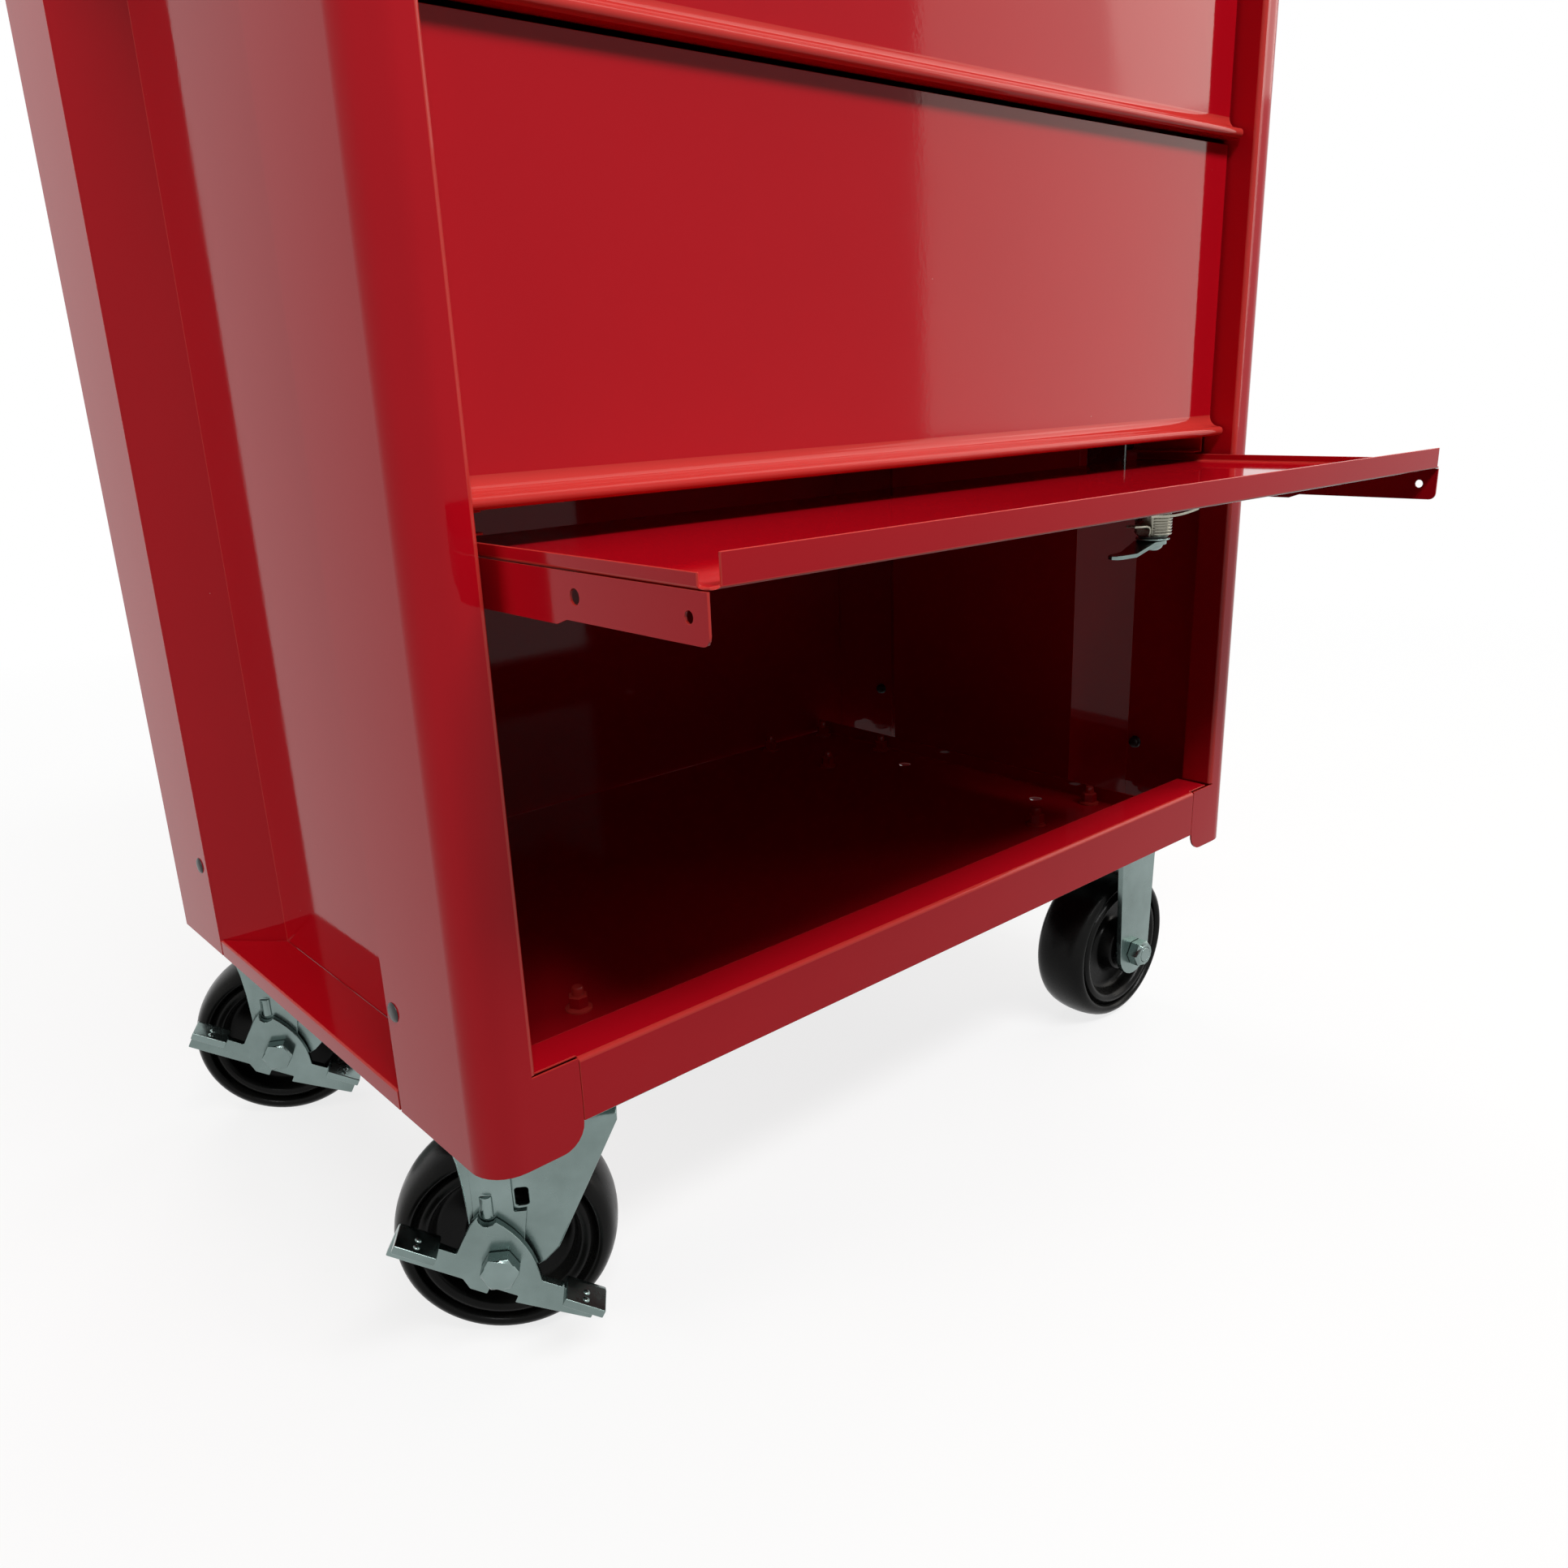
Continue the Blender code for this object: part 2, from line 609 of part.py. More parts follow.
def door_panel():
    """Door panel at rest: lying flat, outer face up, with turned-up sides and a pull along its front."""
    bm = bmesh.new()
    half = DOOR_HALF - SHEET
    front = DOOR_FRONT + SHEET
    rear = HINGE_Y - TROLLEY_FRONT - DOOR_REAR_ROOM
    lip_front = front + DOOR_CORNER_NOTCH
    pull_half = half - DOOR_CORNER_NOTCH
    outline = [
        (-half, lip_front), (-half, front), (-pull_half, front), (pull_half, front),
        (half, front), (half, lip_front), (half, rear), (-half, rear),
    ]
    hole = circle((0.0, DOOR_FRONT + LOCK_SETBACK), LOCK_BARREL_RADIUS + LOCK_CLEARANCE, 16)
    add_patch(bm, [outline, hole], lambda p: (p[0], p[1], DOOR_Z), (0, 0, 1))
    lip = [DOOR_Z, DOOR_Z + DOOR_LIP]
    add_grid(bm, lip, [lip_front, rear], lambda z, y: (half, y, z))
    add_grid(bm, lip, [rear, lip_front], lambda z, y: (-half, y, z))
    pull = [DOOR_Z, DOOR_Z + DOOR_PULL]
    add_grid(bm, pull, [pull_half, -pull_half], lambda z, x: (x, front, z))
    for face in bm.faces:
        face.normal_update()
        center = face.calc_center_median()
        inward = Vector((-center.x, HINGE_Y - center.y, 0.0))
        if abs(face.normal.z) < 0.5 and face.normal.dot(inward) < 0:
            face.normal_flip()
    return weld(bm)


def door_bracket():
    """Left stiffening bracket under the door's edge, with its step, its two holes and the hinge hole."""
    top = DOOR_Z - SHEET - GAP
    bottom = top - BRACKET_DEPTH
    front = DOOR_FRONT + SHEET
    tail = HINGE_Y + BRACKET_TAIL
    step = DOOR_FRONT + BRACKET_STEP_AT
    corner = (front + BRACKET_CORNER_RADIUS, bottom + BRACKET_CORNER_RADIUS)
    stepped = bottom - BRACKET_STEP
    outline = [(front, top)] + arc(corner, BRACKET_CORNER_RADIUS, 180, 270, 4)
    outline += [(step, bottom), (step + BRACKET_STEP_RUN, stepped), (tail, stepped), (tail, top)]
    hole_z = (top + bottom) / 2
    holes = [
        circle((HINGE_Y, HINGE_Z), HINGE_PIN_RADIUS + HINGE_PIN_CLEARANCE, 12),
        circle((DOOR_FRONT + BRACKET_HOLE_AT, hole_z), BRACKET_HOLE_RADIUS, 12),
        circle((DOOR_FRONT + BRACKET_SMALL_HOLE_AT, hole_z), BRACKET_SMALL_HOLE_RADIUS, 10),
    ]
    outer = -(DOOR_HALF - GAP)
    return plate([outline] + holes, lambda p: (outer, p[0], p[1]), (-1, 0, 0), SHEET)


def track_heights():
    low = DOOR_Z + DOOR_LIP + TRACK_LIFT
    return low, low + TRACK_HEIGHT


def door_track():
    """Left track: a channel on the side wall above the door."""
    web = -(WALL_INSIDE - GAP)
    ends = (FRONT + TRACK_FRONT_ROOM, BACK - TRACK_REAR_ROOM)
    return channel(web, web + TRACK_WIDTH, *track_heights(), SHEET, ends)


def door_trolley():
    """Left trolley: a block in the track, a hanging plate and the pin that the door turns on."""
    low, high = track_heights()
    low += SHEET + GAP
    high -= SHEET + GAP
    outer = -(WALL_INSIDE - 2 * GAP - SHEET)
    plate_outer = -(WALL_INSIDE - 2 * GAP - TRACK_WIDTH)
    plate_inner = plate_outer + TROLLEY_PLATE
    foot = HINGE_Z - 2 * HINGE_PIN_RADIUS
    outline = [
        (outer, low), (plate_outer, low), (plate_outer, foot),
        (plate_inner, foot), (plate_inner, high), (outer, high),
    ]
    body = prism(outline, lambda p, y: (p[0], y, p[1]), HINGE_Y - TROLLEY_FRONT, HINGE_Y + TROLLEY_REAR)
    bracket_inner = -(DOOR_HALF - GAP - SHEET)
    collar = HINGE_PIN_RADIUS + HINGE_PIN_CLEARANCE + SHEET
    rings = [
        (-(DOOR_HALF - GAP), HINGE_PIN_RADIUS),
        (bracket_inner + GAP, HINGE_PIN_RADIUS),
        (bracket_inner + GAP, collar),
        (plate_outer + TROLLEY_PLATE / 2, collar),
    ]
    pin = moved(turned(rings, "X", 12), (0.0, HINGE_Y, HINGE_Z))
    return united(body, pin)


def lock_barrel():
    """Lock body: round head above the panel and a barrel through it, with a bore for the plug."""
    bore = LOCK_PLUG_RADIUS + LOCK_CLEARANCE
    rings = [
        (GAP + LOCK_HEAD_HEIGHT, LOCK_HEAD_RADIUS - LOCK_HEAD_HEIGHT / 2), (GAP, LOCK_HEAD_RADIUS),
        (GAP, LOCK_BARREL_RADIUS), (-LOCK_BARREL_LENGTH, LOCK_BARREL_RADIUS),
        (-LOCK_BARREL_LENGTH, bore), (GAP + LOCK_HEAD_HEIGHT, bore),
    ]
    return turned(rings, "Z", 18, hollow=True)


def lock_clip():
    """Horseshoe clip that holds the barrel under the panel, open towards +X."""
    slot = LOCK_BARREL_RADIUS + LOCK_CLEARANCE
    outline = [
        (LOCK_CLIP_REACH, slot), (LOCK_CLIP_REACH, LOCK_CLIP_HALF), (-LOCK_CLIP_REACH, LOCK_CLIP_HALF),
        (-LOCK_CLIP_REACH, -LOCK_CLIP_HALF), (LOCK_CLIP_REACH, -LOCK_CLIP_HALF), (LOCK_CLIP_REACH, -slot),
    ]
    outline += arc((0.0, 0.0), slot, -90, -270, 10)
    return plate([outline], lambda p: (p[0], p[1], -SHEET - GAP), (0, 0, 1), LOCK_CLIP_GAUGE)


def lock_plug():
    """Key plug with the stud that carries the cam."""
    face = GAP + LOCK_HEAD_HEIGHT
    stud = LOCK_BARREL_LENGTH + 2 * GAP + CAM_THICKNESS
    rings = [
        (face, LOCK_PLUG_RADIUS), (-LOCK_BARREL_LENGTH, LOCK_PLUG_RADIUS),
        (-LOCK_BARREL_LENGTH, CAM_STUD_RADIUS), (-stud, CAM_STUD_RADIUS),
    ]
    return turned(rings, "Z", 14)


def lock_cam():
    """Cam tongue, pointing to -X when it is unlocked, stepped down between its stud and its tip."""
    top = -LOCK_BARREL_LENGTH - GAP
    half = CAM_WIDTH / 2
    outline = arc((0.0, 0.0), half, -90, 90, 6)
    outline += arc((-CAM_LENGTH + CAM_TIP_WIDTH / 2, 0.0), CAM_TIP_WIDTH / 2, 90, 270, 4)
    hole = circle((0.0, 0.0), CAM_STUD_RADIUS + LOCK_CLEARANCE, 10)
    bm = plate([outline, hole], lambda p: (p[0], p[1], top), (0, 0, 1), CAM_THICKNESS)
    for bend in (CAM_STEP_FRONT, CAM_STEP_REAR):
        geometry = bm.verts[:] + bm.edges[:] + bm.faces[:]
        bmesh.ops.bisect_plane(bm, geom=geometry, plane_co=(-bend, 0, 0), plane_no=(1, 0, 0))
    for vert in bm.verts:
        share = (-vert.co.x - CAM_STEP_FRONT) / (CAM_STEP_REAR - CAM_STEP_FRONT)
        vert.co.z -= CAM_STEP * min(max(share, 0.0), 1.0)
    return bm


def caster_plate():
    """Mounting plate with its four bolt holes, top face at the guide's height."""
    half_x = PLATE_WIDTH / 2
    half_y = PLATE_LENGTH / 2
    outline = rounded_rectangle(half_x, -half_y, half_y, PLATE_CORNER_RADIUS, PLATE_CORNER_RADIUS, 4)
    holes = []
    for x in (-BOLT_SPACING_WIDE / 2, BOLT_SPACING_WIDE / 2):
        for y in (-BOLT_SPACING_LONG / 2, BOLT_SPACING_LONG / 2):
            holes.append(circle((x, y), BOLT_HOLE_RADIUS, 10))
    return plate([outline] + holes, lambda p: (p[0], p[1], -GAP), (0, 0, 1), PLATE_GAUGE)


def swivel_plate():
    """Swivel plate with its bearing race and kingpin."""
    bottom = -GAP - PLATE_GAUGE
    race_bottom = bottom - SWIVEL_RACE_HEIGHT
    seat = SWIVEL_RACE_RADIUS - SWIVEL_RACE_HEIGHT / 2
    rings = [
        (bottom + PLATE_GAUGE / 2, seat), (bottom, seat),
        (bottom - SWIVEL_RACE_HEIGHT / 2, SWIVEL_RACE_RADIUS),
        (race_bottom, seat), (race_bottom, KINGPIN_RADIUS),
        (race_bottom - FORK_GAUGE - GAP, KINGPIN_RADIUS),
    ]
    return united(caster_plate(), turned(rings, "Z", 28))


def fork_top():
    """Height of the fork's upper face below the mounting face."""
    return -GAP - PLATE_GAUGE - SWIVEL_RACE_HEIGHT - GAP


def fork(top, leg, axle, top_ends, kingpin_hole=0.0, slot=None):
    """A fork bent from one plate: leg is a leg's outline below the bend, top_ends the plate's reach.

    A slot is cut in the leg on the brake side.
    """
    bm = bmesh.new()
    bend = FORK_BEND_RADIUS
    flat = FORK_HALF - bend
    start, end = top_ends
    loops = [[(start, -flat), (end, -flat), (end, flat), (start, flat)]]
    if kingpin_hole:
        loops.append(circle((0.0, 0.0), kingpin_hole, 16))
    add_patch(bm, loops, lambda p: (p[0], p[1], top), (0, 0, 1))
    corner = arc((flat, top - bend), bend, 90, 0, 4)
    add_grid(bm, corner, [start, end], lambda p, x: (x, p[0], p[1]))
    add_grid(bm, corner, [end, start], lambda p, x: (x, -p[0], p[1]))
    bore = circle(axle, AXLE_RADIUS + RUNNING_CLEARANCE, 14)
    add_patch(bm, [leg, bore], lambda p: (p[0], -FORK_HALF, p[1]), (0, -1, 0))
    brake_side = [leg, bore]
    if slot:
        brake_side.append(slot)
    add_patch(bm, brake_side, lambda p: (p[0], FORK_HALF, p[1]), (0, 1, 0))
    return weld(bm)


def swivel_fork():
    """Trailing fork: wide legs with a cove behind and a toe in front, and the slot for the brake spring."""
    top = fork_top()
    edge = top - FORK_BEND_RADIUS
    axle = (SWIVEL_LEAD, -AXLE_DROP)
    foot = arc(axle, FORK_FOOT_RADIUS, 0, -110, 7)
    toe = (axle[0] - FORK_TOE, axle[1] + FORK_TOE_LIFT)
    sole = (toe[0] + FORK_TOE_CHAMFER, toe[1] - FORK_TOE_CHAMFER)
    waist = (foot[0][0], edge - FORK_COVE)
    cove = sweep((FORK_TOP_REAR, edge), waist, foot[0], 5)
    leg = [(-FORK_TOP_FRONT, edge)] + cove[:-1] + foot + [sole, toe]
    left = axle[0] - SLOT_FRONT
    low = axle[1] + SLOT_LOW
    right = left + SLOT_WIDTH
    high = low + SLOT_HEIGHT
    slot = [(left, low), (right, low), (right, high), (left, high)]
    ends = (-FORK_TOP_FRONT, FORK_TOP_REAR)
    return fork(top, leg, axle, ends, KINGPIN_RADIUS + RUNNING_CLEARANCE, slot)


def rigid_fork():
    """Fixed fork with straight legs under wide shoulders."""
    top = -2 * GAP - PLATE_GAUGE
    edge = top - FORK_BEND_RADIUS
    axle = (0.0, -AXLE_DROP)
    waist = (RIGID_WAIST_HALF, edge - FORK_COVE)
    shoulder = sweep((RIGID_TOP_HALF, edge), (RIGID_WAIST_HALF, edge), waist, 4)
    leg = shoulder + arc(axle, RIGID_FOOT_RADIUS, 0, -180, 12)
    leg += [(-x, z) for x, z in reversed(shoulder)]
    return fork(top, leg, axle, (-RIGID_TOP_HALF, RIGID_TOP_HALF))


def wheel():
    """Wheel about its axle along Y: rounded tread, ringed rim and radial ribs in both sunk webs."""
    bm = bmesh.new()
    half = WHEEL_WIDTH / 2
    bore = AXLE_RADIUS + SLEEVE_WALL + 2 * RUNNING_CLEARANCE
    rim_inner = WHEEL_RADIUS - WHEEL_RIM_DEPTH
    web = half - WHEEL_RECESS
    slope = WHEEL_RECESS / 4
    shoulder = WHEEL_EDGE_RADIUS / 2

    def face_points(open_web):
        """(radius, half width) from the bore to the tread; a rib fills the web."""
        level = web if open_web else half - slope
        edge = (WHEEL_RADIUS - WHEEL_EDGE_RADIUS, half - WHEEL_EDGE_RADIUS)
        tread = arc(edge, WHEEL_EDGE_RADIUS, 90, 0, 3)
        return [
            (bore, half), (WHEEL_HUB_RADIUS, half), (WHEEL_HUB_RADIUS + slope, level),
            (rim_inner - slope, level), (rim_inner, half - slope), (rim_inner + shoulder, half - shoulder),
        ] + tread

    rib_angle = WHEEL_RIB_WIDTH / rim_inner
    wall = WHEEL_RIB_SLOPE / rim_inner
    stations = []
    for rib in range(WHEEL_RIBS):
        middle = 2 * math.pi * rib / WHEEL_RIBS
        span = 2 * math.pi / WHEEL_RIBS - rib_angle - 2 * wall
        stations += [(middle - rib_angle / 2, False), (middle + rib_angle / 2, False)]
        stations += [(middle + rib_angle / 2 + wall + span * k / 2, True) for k in range(3)]
    loops = []
    for angle, open_web in stations:
        face = face_points(open_web)
        section = face + [(radius, -y) for radius, y in reversed(face)]
        loops.append([bm.verts.new((r * math.cos(angle), y, r * math.sin(angle))) for r, y in section])
    for number, loop in enumerate(loops):
        before = loops[number - 1]
        for i in range(len(loop)):
            bm.faces.new((before[i - 1], before[i], loop[i], loop[i - 1]))
    bmesh.ops.recalc_face_normals(bm, faces=bm.faces)
    return bm


def axle_sleeve():
    """Spacer tube between the fork legs, which the wheel turns on."""
    half = FORK_HALF - FORK_GAUGE - GAP
    inner = AXLE_RADIUS + RUNNING_CLEARANCE
    outer = inner + SLEEVE_WALL
    return turned([(-half, inner), (half, inner), (half, outer), (-half, outer)], "Y", 18, hollow=True)


def axle_bolt(head_at, side):
    """Hex bolt through the fork; head_at is the face it bears on, side the way the head looks."""
    across = HEX_FLATS / math.sqrt(3)
    crown = head_at + HEX_HEAD_HEIGHT
    end = FORK_HALF + GAP + NUT_HEIGHT + GAP
    rings = [
        (side * crown, across * HEX_CROWN), (side * (crown - HEX_HEAD_CHAMFER), across),
        (side * head_at, across), (side * head_at, AXLE_RADIUS), (-side * end, AXLE_RADIUS),
    ]
    return turned(rings, "Y", 12, flats=(1, 2))


def axle_nut(side):
    """Lock nut against the fork leg."""
    across = HEX_FLATS / math.sqrt(3)
    near = FORK_HALF + GAP
    far = near + NUT_HEIGHT
    bore = AXLE_RADIUS + RUNNING_CLEARANCE
    rings = [
        (side * near, across), (side * (far - NUT_COLLAR), across),
        (side * far, across * HEX_CROWN), (side * far, bore), (side * near, bore),
    ]
    return turned(rings, "Y", 12, hollow=True, flats=(0, 1))


def brake_lever():
    """Rocker lever: a hump with a detent round the axle bolt, and two arms with a turned-out pedal each."""
    bm = bmesh.new()
    face = FORK_HALF + SPRING_GAUGE + 2 * GAP + LEVER_GAUGE
    upper = -LEVER_ARM_DROP + LEVER_ARM_HALF
    lower = -LEVER_ARM_DROP - LEVER_ARM_HALF
    inner = LEVER_ARM_REACH - PEDAL_LENGTH
    outline = [(LEVER_ARM_REACH, lower), (LEVER_ARM_REACH, upper), (inner, upper), (HUMP_HALF, upper)]
    outline += [(HUMP_HALF, HUMP_SHOULDER)] + arc((DETENT_AT, HUMP_TOP), DETENT_RADIUS, 0, -180, 6)
    flank = (-HUMP_FLANK, HUMP_TOP - DETENT_RADIUS)
    outline += sweep(outline[-1], flank, (-HUMP_HALF, upper), 8)[1:]
    outline += [(-inner, upper), (-LEVER_ARM_REACH, upper), (-LEVER_ARM_REACH, lower)]
    outline += [(-LEVER_NOTCH, -BELLY_DROP), (-LEVER_NOTCH, lower), (0.0, lower), (0.0, -BELLY_DROP)]
    outline += [(BELLY_REACH, -BELLY_DROP), (BELLY_HALF, lower)]
    bore = circle((0.0, 0.0), AXLE_RADIUS + RUNNING_CLEARANCE, 14)
    add_patch(bm, [outline, bore], lambda p: (p[0], face, p[1]), (0, 1, 0))
    bend = arc((face + PEDAL_BEND_RADIUS, upper), PEDAL_BEND_RADIUS, 180, 90, 3)
    bend.append((face + PEDAL_WIDTH, upper + PEDAL_BEND_RADIUS))
    add_grid(bm, bend, [LEVER_ARM_REACH, inner], lambda p, x: (x, p[0], p[1]))
    add_grid(bm, bend, [-inner, -LEVER_ARM_REACH], lambda p, x: (x, p[0], p[1]))
    tilt = Matrix.Rotation(math.radians(LEVER_TILT), 3, "Y")
    bmesh.ops.rotate(bm, matrix=tilt, verts=bm.verts)
    return weld(bm)


def brake_spring():
    """Leaf spring clamped under the lever, with a hook at the fork's slot and a ridge in the detent."""
    seat = FORK_HALF + GAP
    face = seat + SPRING_GAUGE
    high = AXLE_DROP + fork_top() - FORK_BEND_RADIUS - FORK_GAUGE
    hook = SLOT_LOW - SPRING_GAUGE
    outline = [(SPRING_REAR, high), (-SPRING_FRONT, high), (-SPRING_FRONT, hook), (-SPRING_HOOK, hook)]
    outline += arc((0.0, 0.0), SPRING_TAIL, 180, 360, 8) + [(SPRING_REAR, SPRING_TAIL)]
    bore = circle((0.0, 0.0), AXLE_RADIUS + RUNNING_CLEARANCE, 14)
    leaf = plate([outline, bore], lambda p: (p[0], face, p[1]), (0, 1, 0), SPRING_GAUGE)
    half = RIDGE_WIDTH / 2
    section = [(RIDGE_AT + half, seat + GAP)]
    section += [(RIDGE_AT + half * math.cos(angle), face + RIDGE_HEIGHT * math.sin(angle))
                for angle in (math.pi * step / 6 for step in range(7))]
    section += [(RIDGE_AT - half, seat + GAP)]
    ridge = prism(section, lambda p, z: (p[0], p[1], z), RIDGE_REST, RIDGE_REST + RIDGE_LENGTH)
    return moved(united(leaf, ridge), (SWIVEL_LEAD, 0.0, -AXLE_DROP))


def build_body(paint, guide):
    add_piece("left_side_panel", side_panel(), paint, guide, SHEET, smooth=30)
    add_piece("right_side_panel", mirrored(side_panel()), paint, guide, SHEET, smooth=30)
    add_piece("back_panel", back_panel(), paint, guide)
    add_piece("floor_pan", floor_pan(), paint, guide, SHEET)
    add_piece("front_rail", front_rail(), paint, guide, SHEET, smooth=30)
    add_piece("left_ledge", side_ledge(), paint, guide, SHEET)
    add_piece("right_ledge", mirrored(side_ledge()), paint, guide, SHEET)
    add_piece("top_tray", top_tray(), paint, guide, SHEET, smooth=30)
    add_piece("left_door_track", door_track(), paint, guide)
    add_piece("right_door_track", mirrored(door_track()), paint, guide)


def build_drawer(name, bottom, top, paint, zinc, guide):
    """A drawer with its front, box and slides; the cabinet's slide members stay behind."""
    drawer = empty(name + "_guide", (0.0, 0.0, 0.0), guide)
    add_piece(name + "_front", drawer_front(bottom, top), paint, drawer, SHEET, smooth=30)
    add_piece(name + "_box", drawer_box(bottom, top), paint, drawer)
    add_piece(name + "_left_runner", drawer_slide(bottom, top), zinc, drawer)
    add_piece(name + "_right_runner", mirrored(drawer_slide(bottom, top)), zinc, drawer)
    add_piece(name + "_left_slide", cabinet_slide(bottom, top), zinc, guide)
    add_piece(name + "_right_slide", mirrored(cabinet_slide(bottom, top)), zinc, guide)


def build_door(paint, zinc, nickel, guide):
    hinge = Vector((0.0, HINGE_Y, HINGE_Z))
    axis = empty("door_hinge_guide", hinge, guide)
    for name, bm, material, thickness in (
        ("left_door_trolley", door_trolley(), zinc, 0.0),
        ("right_door_trolley", mirrored(door_trolley()), zinc, 0.0),
        ("door_panel", door_panel(), paint, SHEET),
        ("left_door_bracket", door_bracket(), paint, 0.0),
        ("right_door_bracket", mirrored(door_bracket()), paint, 0.0),
    ):
        add_piece(name, moved(bm, -hinge), material, axis, thickness)
    lock = empty("lock_guide", Vector((0.0, DOOR_FRONT + LOCK_SETBACK, DOOR_Z)) - hinge, axis)
    add_piece("lock_barrel", lock_barrel(), nickel, lock, smooth=30)
    add_piece("lock_clip", lock_clip(), nickel, lock)
    add_piece("lock_plug", lock_plug(), nickel, lock, smooth=30)
    add_piece("lock_cam", lock_cam(), zinc, lock)


def build_rigid_caster(name, place, zinc, black, guide):
    seat = empty(name + "_seat", place, guide)
    axle = empty(name + "_axle", (0.0, 0.0, -AXLE_DROP), seat)
    add_piece(name + "_plate", caster_plate(), zinc, seat)
    add_piece(name + "_fork", rigid_fork(), zinc, seat, FORK_GAUGE, smooth=30)
    add_piece(name + "_wheel", wheel(), black, axle, smooth=30)
    add_piece(name + "_sleeve", axle_sleeve(), zinc, axle, smooth=30)
    add_piece(name + "_axle_bolt", axle_bolt(FORK_HALF + GAP, 1), zinc, axle)
    add_piece(name + "_axle_nut", axle_nut(-1), zinc, axle)


def build_swivel_caster(name, place, turn, zinc, black, guide):
    """A swivel caster with a side brake; its plate stays square to the cabinet."""
    seat = empty(name + "_seat", place, guide)
    add_piece(name + "_plate", swivel_plate(), zinc, seat, smooth=30)
    swivel = empty(name + "_swivel", (0.0, 0.0, 0.0), seat, turn)
    axle = empty(name + "_axle", (SWIVEL_LEAD, 0.0, -AXLE_DROP), swivel)
    add_piece(name + "_fork", swivel_fork(), zinc, swivel, FORK_GAUGE, smooth=30)
    add_piece(name + "_brake_spring", brake_spring(), zinc, swivel)
    add_piece(name + "_wheel", wheel(), black, axle, smooth=30)
    add_piece(name + "_sleeve", axle_sleeve(), zinc, axle, smooth=30)
    stack = SPRING_GAUGE + LEVER_GAUGE + 3 * GAP
    add_piece(name + "_axle_bolt", axle_bolt(FORK_HALF + stack, 1), zinc, axle)
    add_piece(name + "_axle_nut", axle_nut(-1), zinc, axle)
    add_piece(name + "_brake_lever", brake_lever(), zinc, axle, LEVER_GAUGE)


def build():
    for thing in list(bpy.data.objects):
        bpy.data.objects.remove(thing)
    paint = finish("red_gloss_paint", (0.36, 0.006, 0.012), 0.18, 0.0)
    zinc = finish("zinc_plated_steel", (0.50, 0.55, 0.58), 0.32, 1.0)
    nickel = finish("nickel_plated_brass", (0.62, 0.58, 0.50), 0.25, 1.0)
    black = finish("black_wheel_compound", (0.012, 0.012, 0.013), 0.45, 0.0)
    cabinet = empty("cabinet", (0.0, 0.0, 0.0))
    build_body(paint, cabinet)
    build_drawer("deep_drawer", DEEP_BOTTOM, DEEP_TOP, paint, zinc, cabinet)
    build_drawer("upper_drawer", UPPER_BOTTOM, UPPER_TOP, paint, zinc, cabinet)
    build_door(paint, zinc, nickel, cabinet)
    side = WALL_INSIDE - PLATE_SIDE_ROOM - PLATE_WIDTH / 2
    end_room = PLATE_END_ROOM + PLATE_LENGTH / 2
    for end, y, turn in (
        ("front", FRONT + end_room, FRONT_SWIVEL_TURN),
        ("rear", BACK - end_room, REAR_SWIVEL_TURN),
    ):
        build_rigid_caster("right_" + end + "_caster", (side, y, BASE), zinc, black, cabinet)
        build_swivel_caster("left_" + end + "_caster", (-side, y, BASE), turn, zinc, black, cabinet)


build()
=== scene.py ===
# %% [markdown]
# # A red rolling tool cabinet
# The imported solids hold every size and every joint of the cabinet. This script gives them their looks: rounded
# sheet edges, gloss paint, plated steel, moulded wheels and the small fasteners. Each step first says what the
# piece is on the real cabinet and why it is made the way it is.

import json
import math

import bmesh
import bpy
from mathutils import Matrix, Vector
from mathutils.bvhtree import BVHTree


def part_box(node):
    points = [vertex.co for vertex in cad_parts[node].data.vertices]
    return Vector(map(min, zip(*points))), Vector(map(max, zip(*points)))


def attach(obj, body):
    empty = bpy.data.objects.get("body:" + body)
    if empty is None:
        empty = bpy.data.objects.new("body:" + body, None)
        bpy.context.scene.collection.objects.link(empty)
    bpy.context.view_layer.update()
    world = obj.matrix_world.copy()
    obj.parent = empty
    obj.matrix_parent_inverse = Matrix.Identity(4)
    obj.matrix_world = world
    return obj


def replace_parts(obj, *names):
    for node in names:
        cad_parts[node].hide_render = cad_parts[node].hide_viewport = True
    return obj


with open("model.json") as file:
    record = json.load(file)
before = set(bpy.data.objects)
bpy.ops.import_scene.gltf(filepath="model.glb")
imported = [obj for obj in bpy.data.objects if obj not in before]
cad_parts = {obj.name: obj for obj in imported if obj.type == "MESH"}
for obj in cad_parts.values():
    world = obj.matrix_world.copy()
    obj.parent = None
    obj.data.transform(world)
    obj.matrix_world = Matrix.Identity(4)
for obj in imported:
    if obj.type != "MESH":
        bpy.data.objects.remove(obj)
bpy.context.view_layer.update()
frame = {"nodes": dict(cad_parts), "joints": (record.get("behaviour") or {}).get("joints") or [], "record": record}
solids = frame["nodes"]
joints = {joint["name"]: joint for joint in frame["joints"]}
body_of = {}
for body_name, members in frame["record"]["behaviour"]["bodies"].items():
    for member in members:
        body_of[member] = body_name
print("solids:", len(solids), "joints:", len(joints))

# %% [markdown]
# ## The camera
# The photographer stood close to the front left corner and looked down a little, so the near post looks tall and
# the far wheels look small. The place and the angles were solved from the straight edges of the cabinet; a
# camera matrix is built from them directly, because a Track To constraint could not hold the slight roll.

# %% Camera
EYE = Vector((-0.5751, -0.7203, 0.5214))
YAW = 0.72006
PITCH = -0.30998
ROLL = -0.03669
LENS_MM = 28.73
SENSOR_MM = 36.0
NEAR_CLIP = 0.02

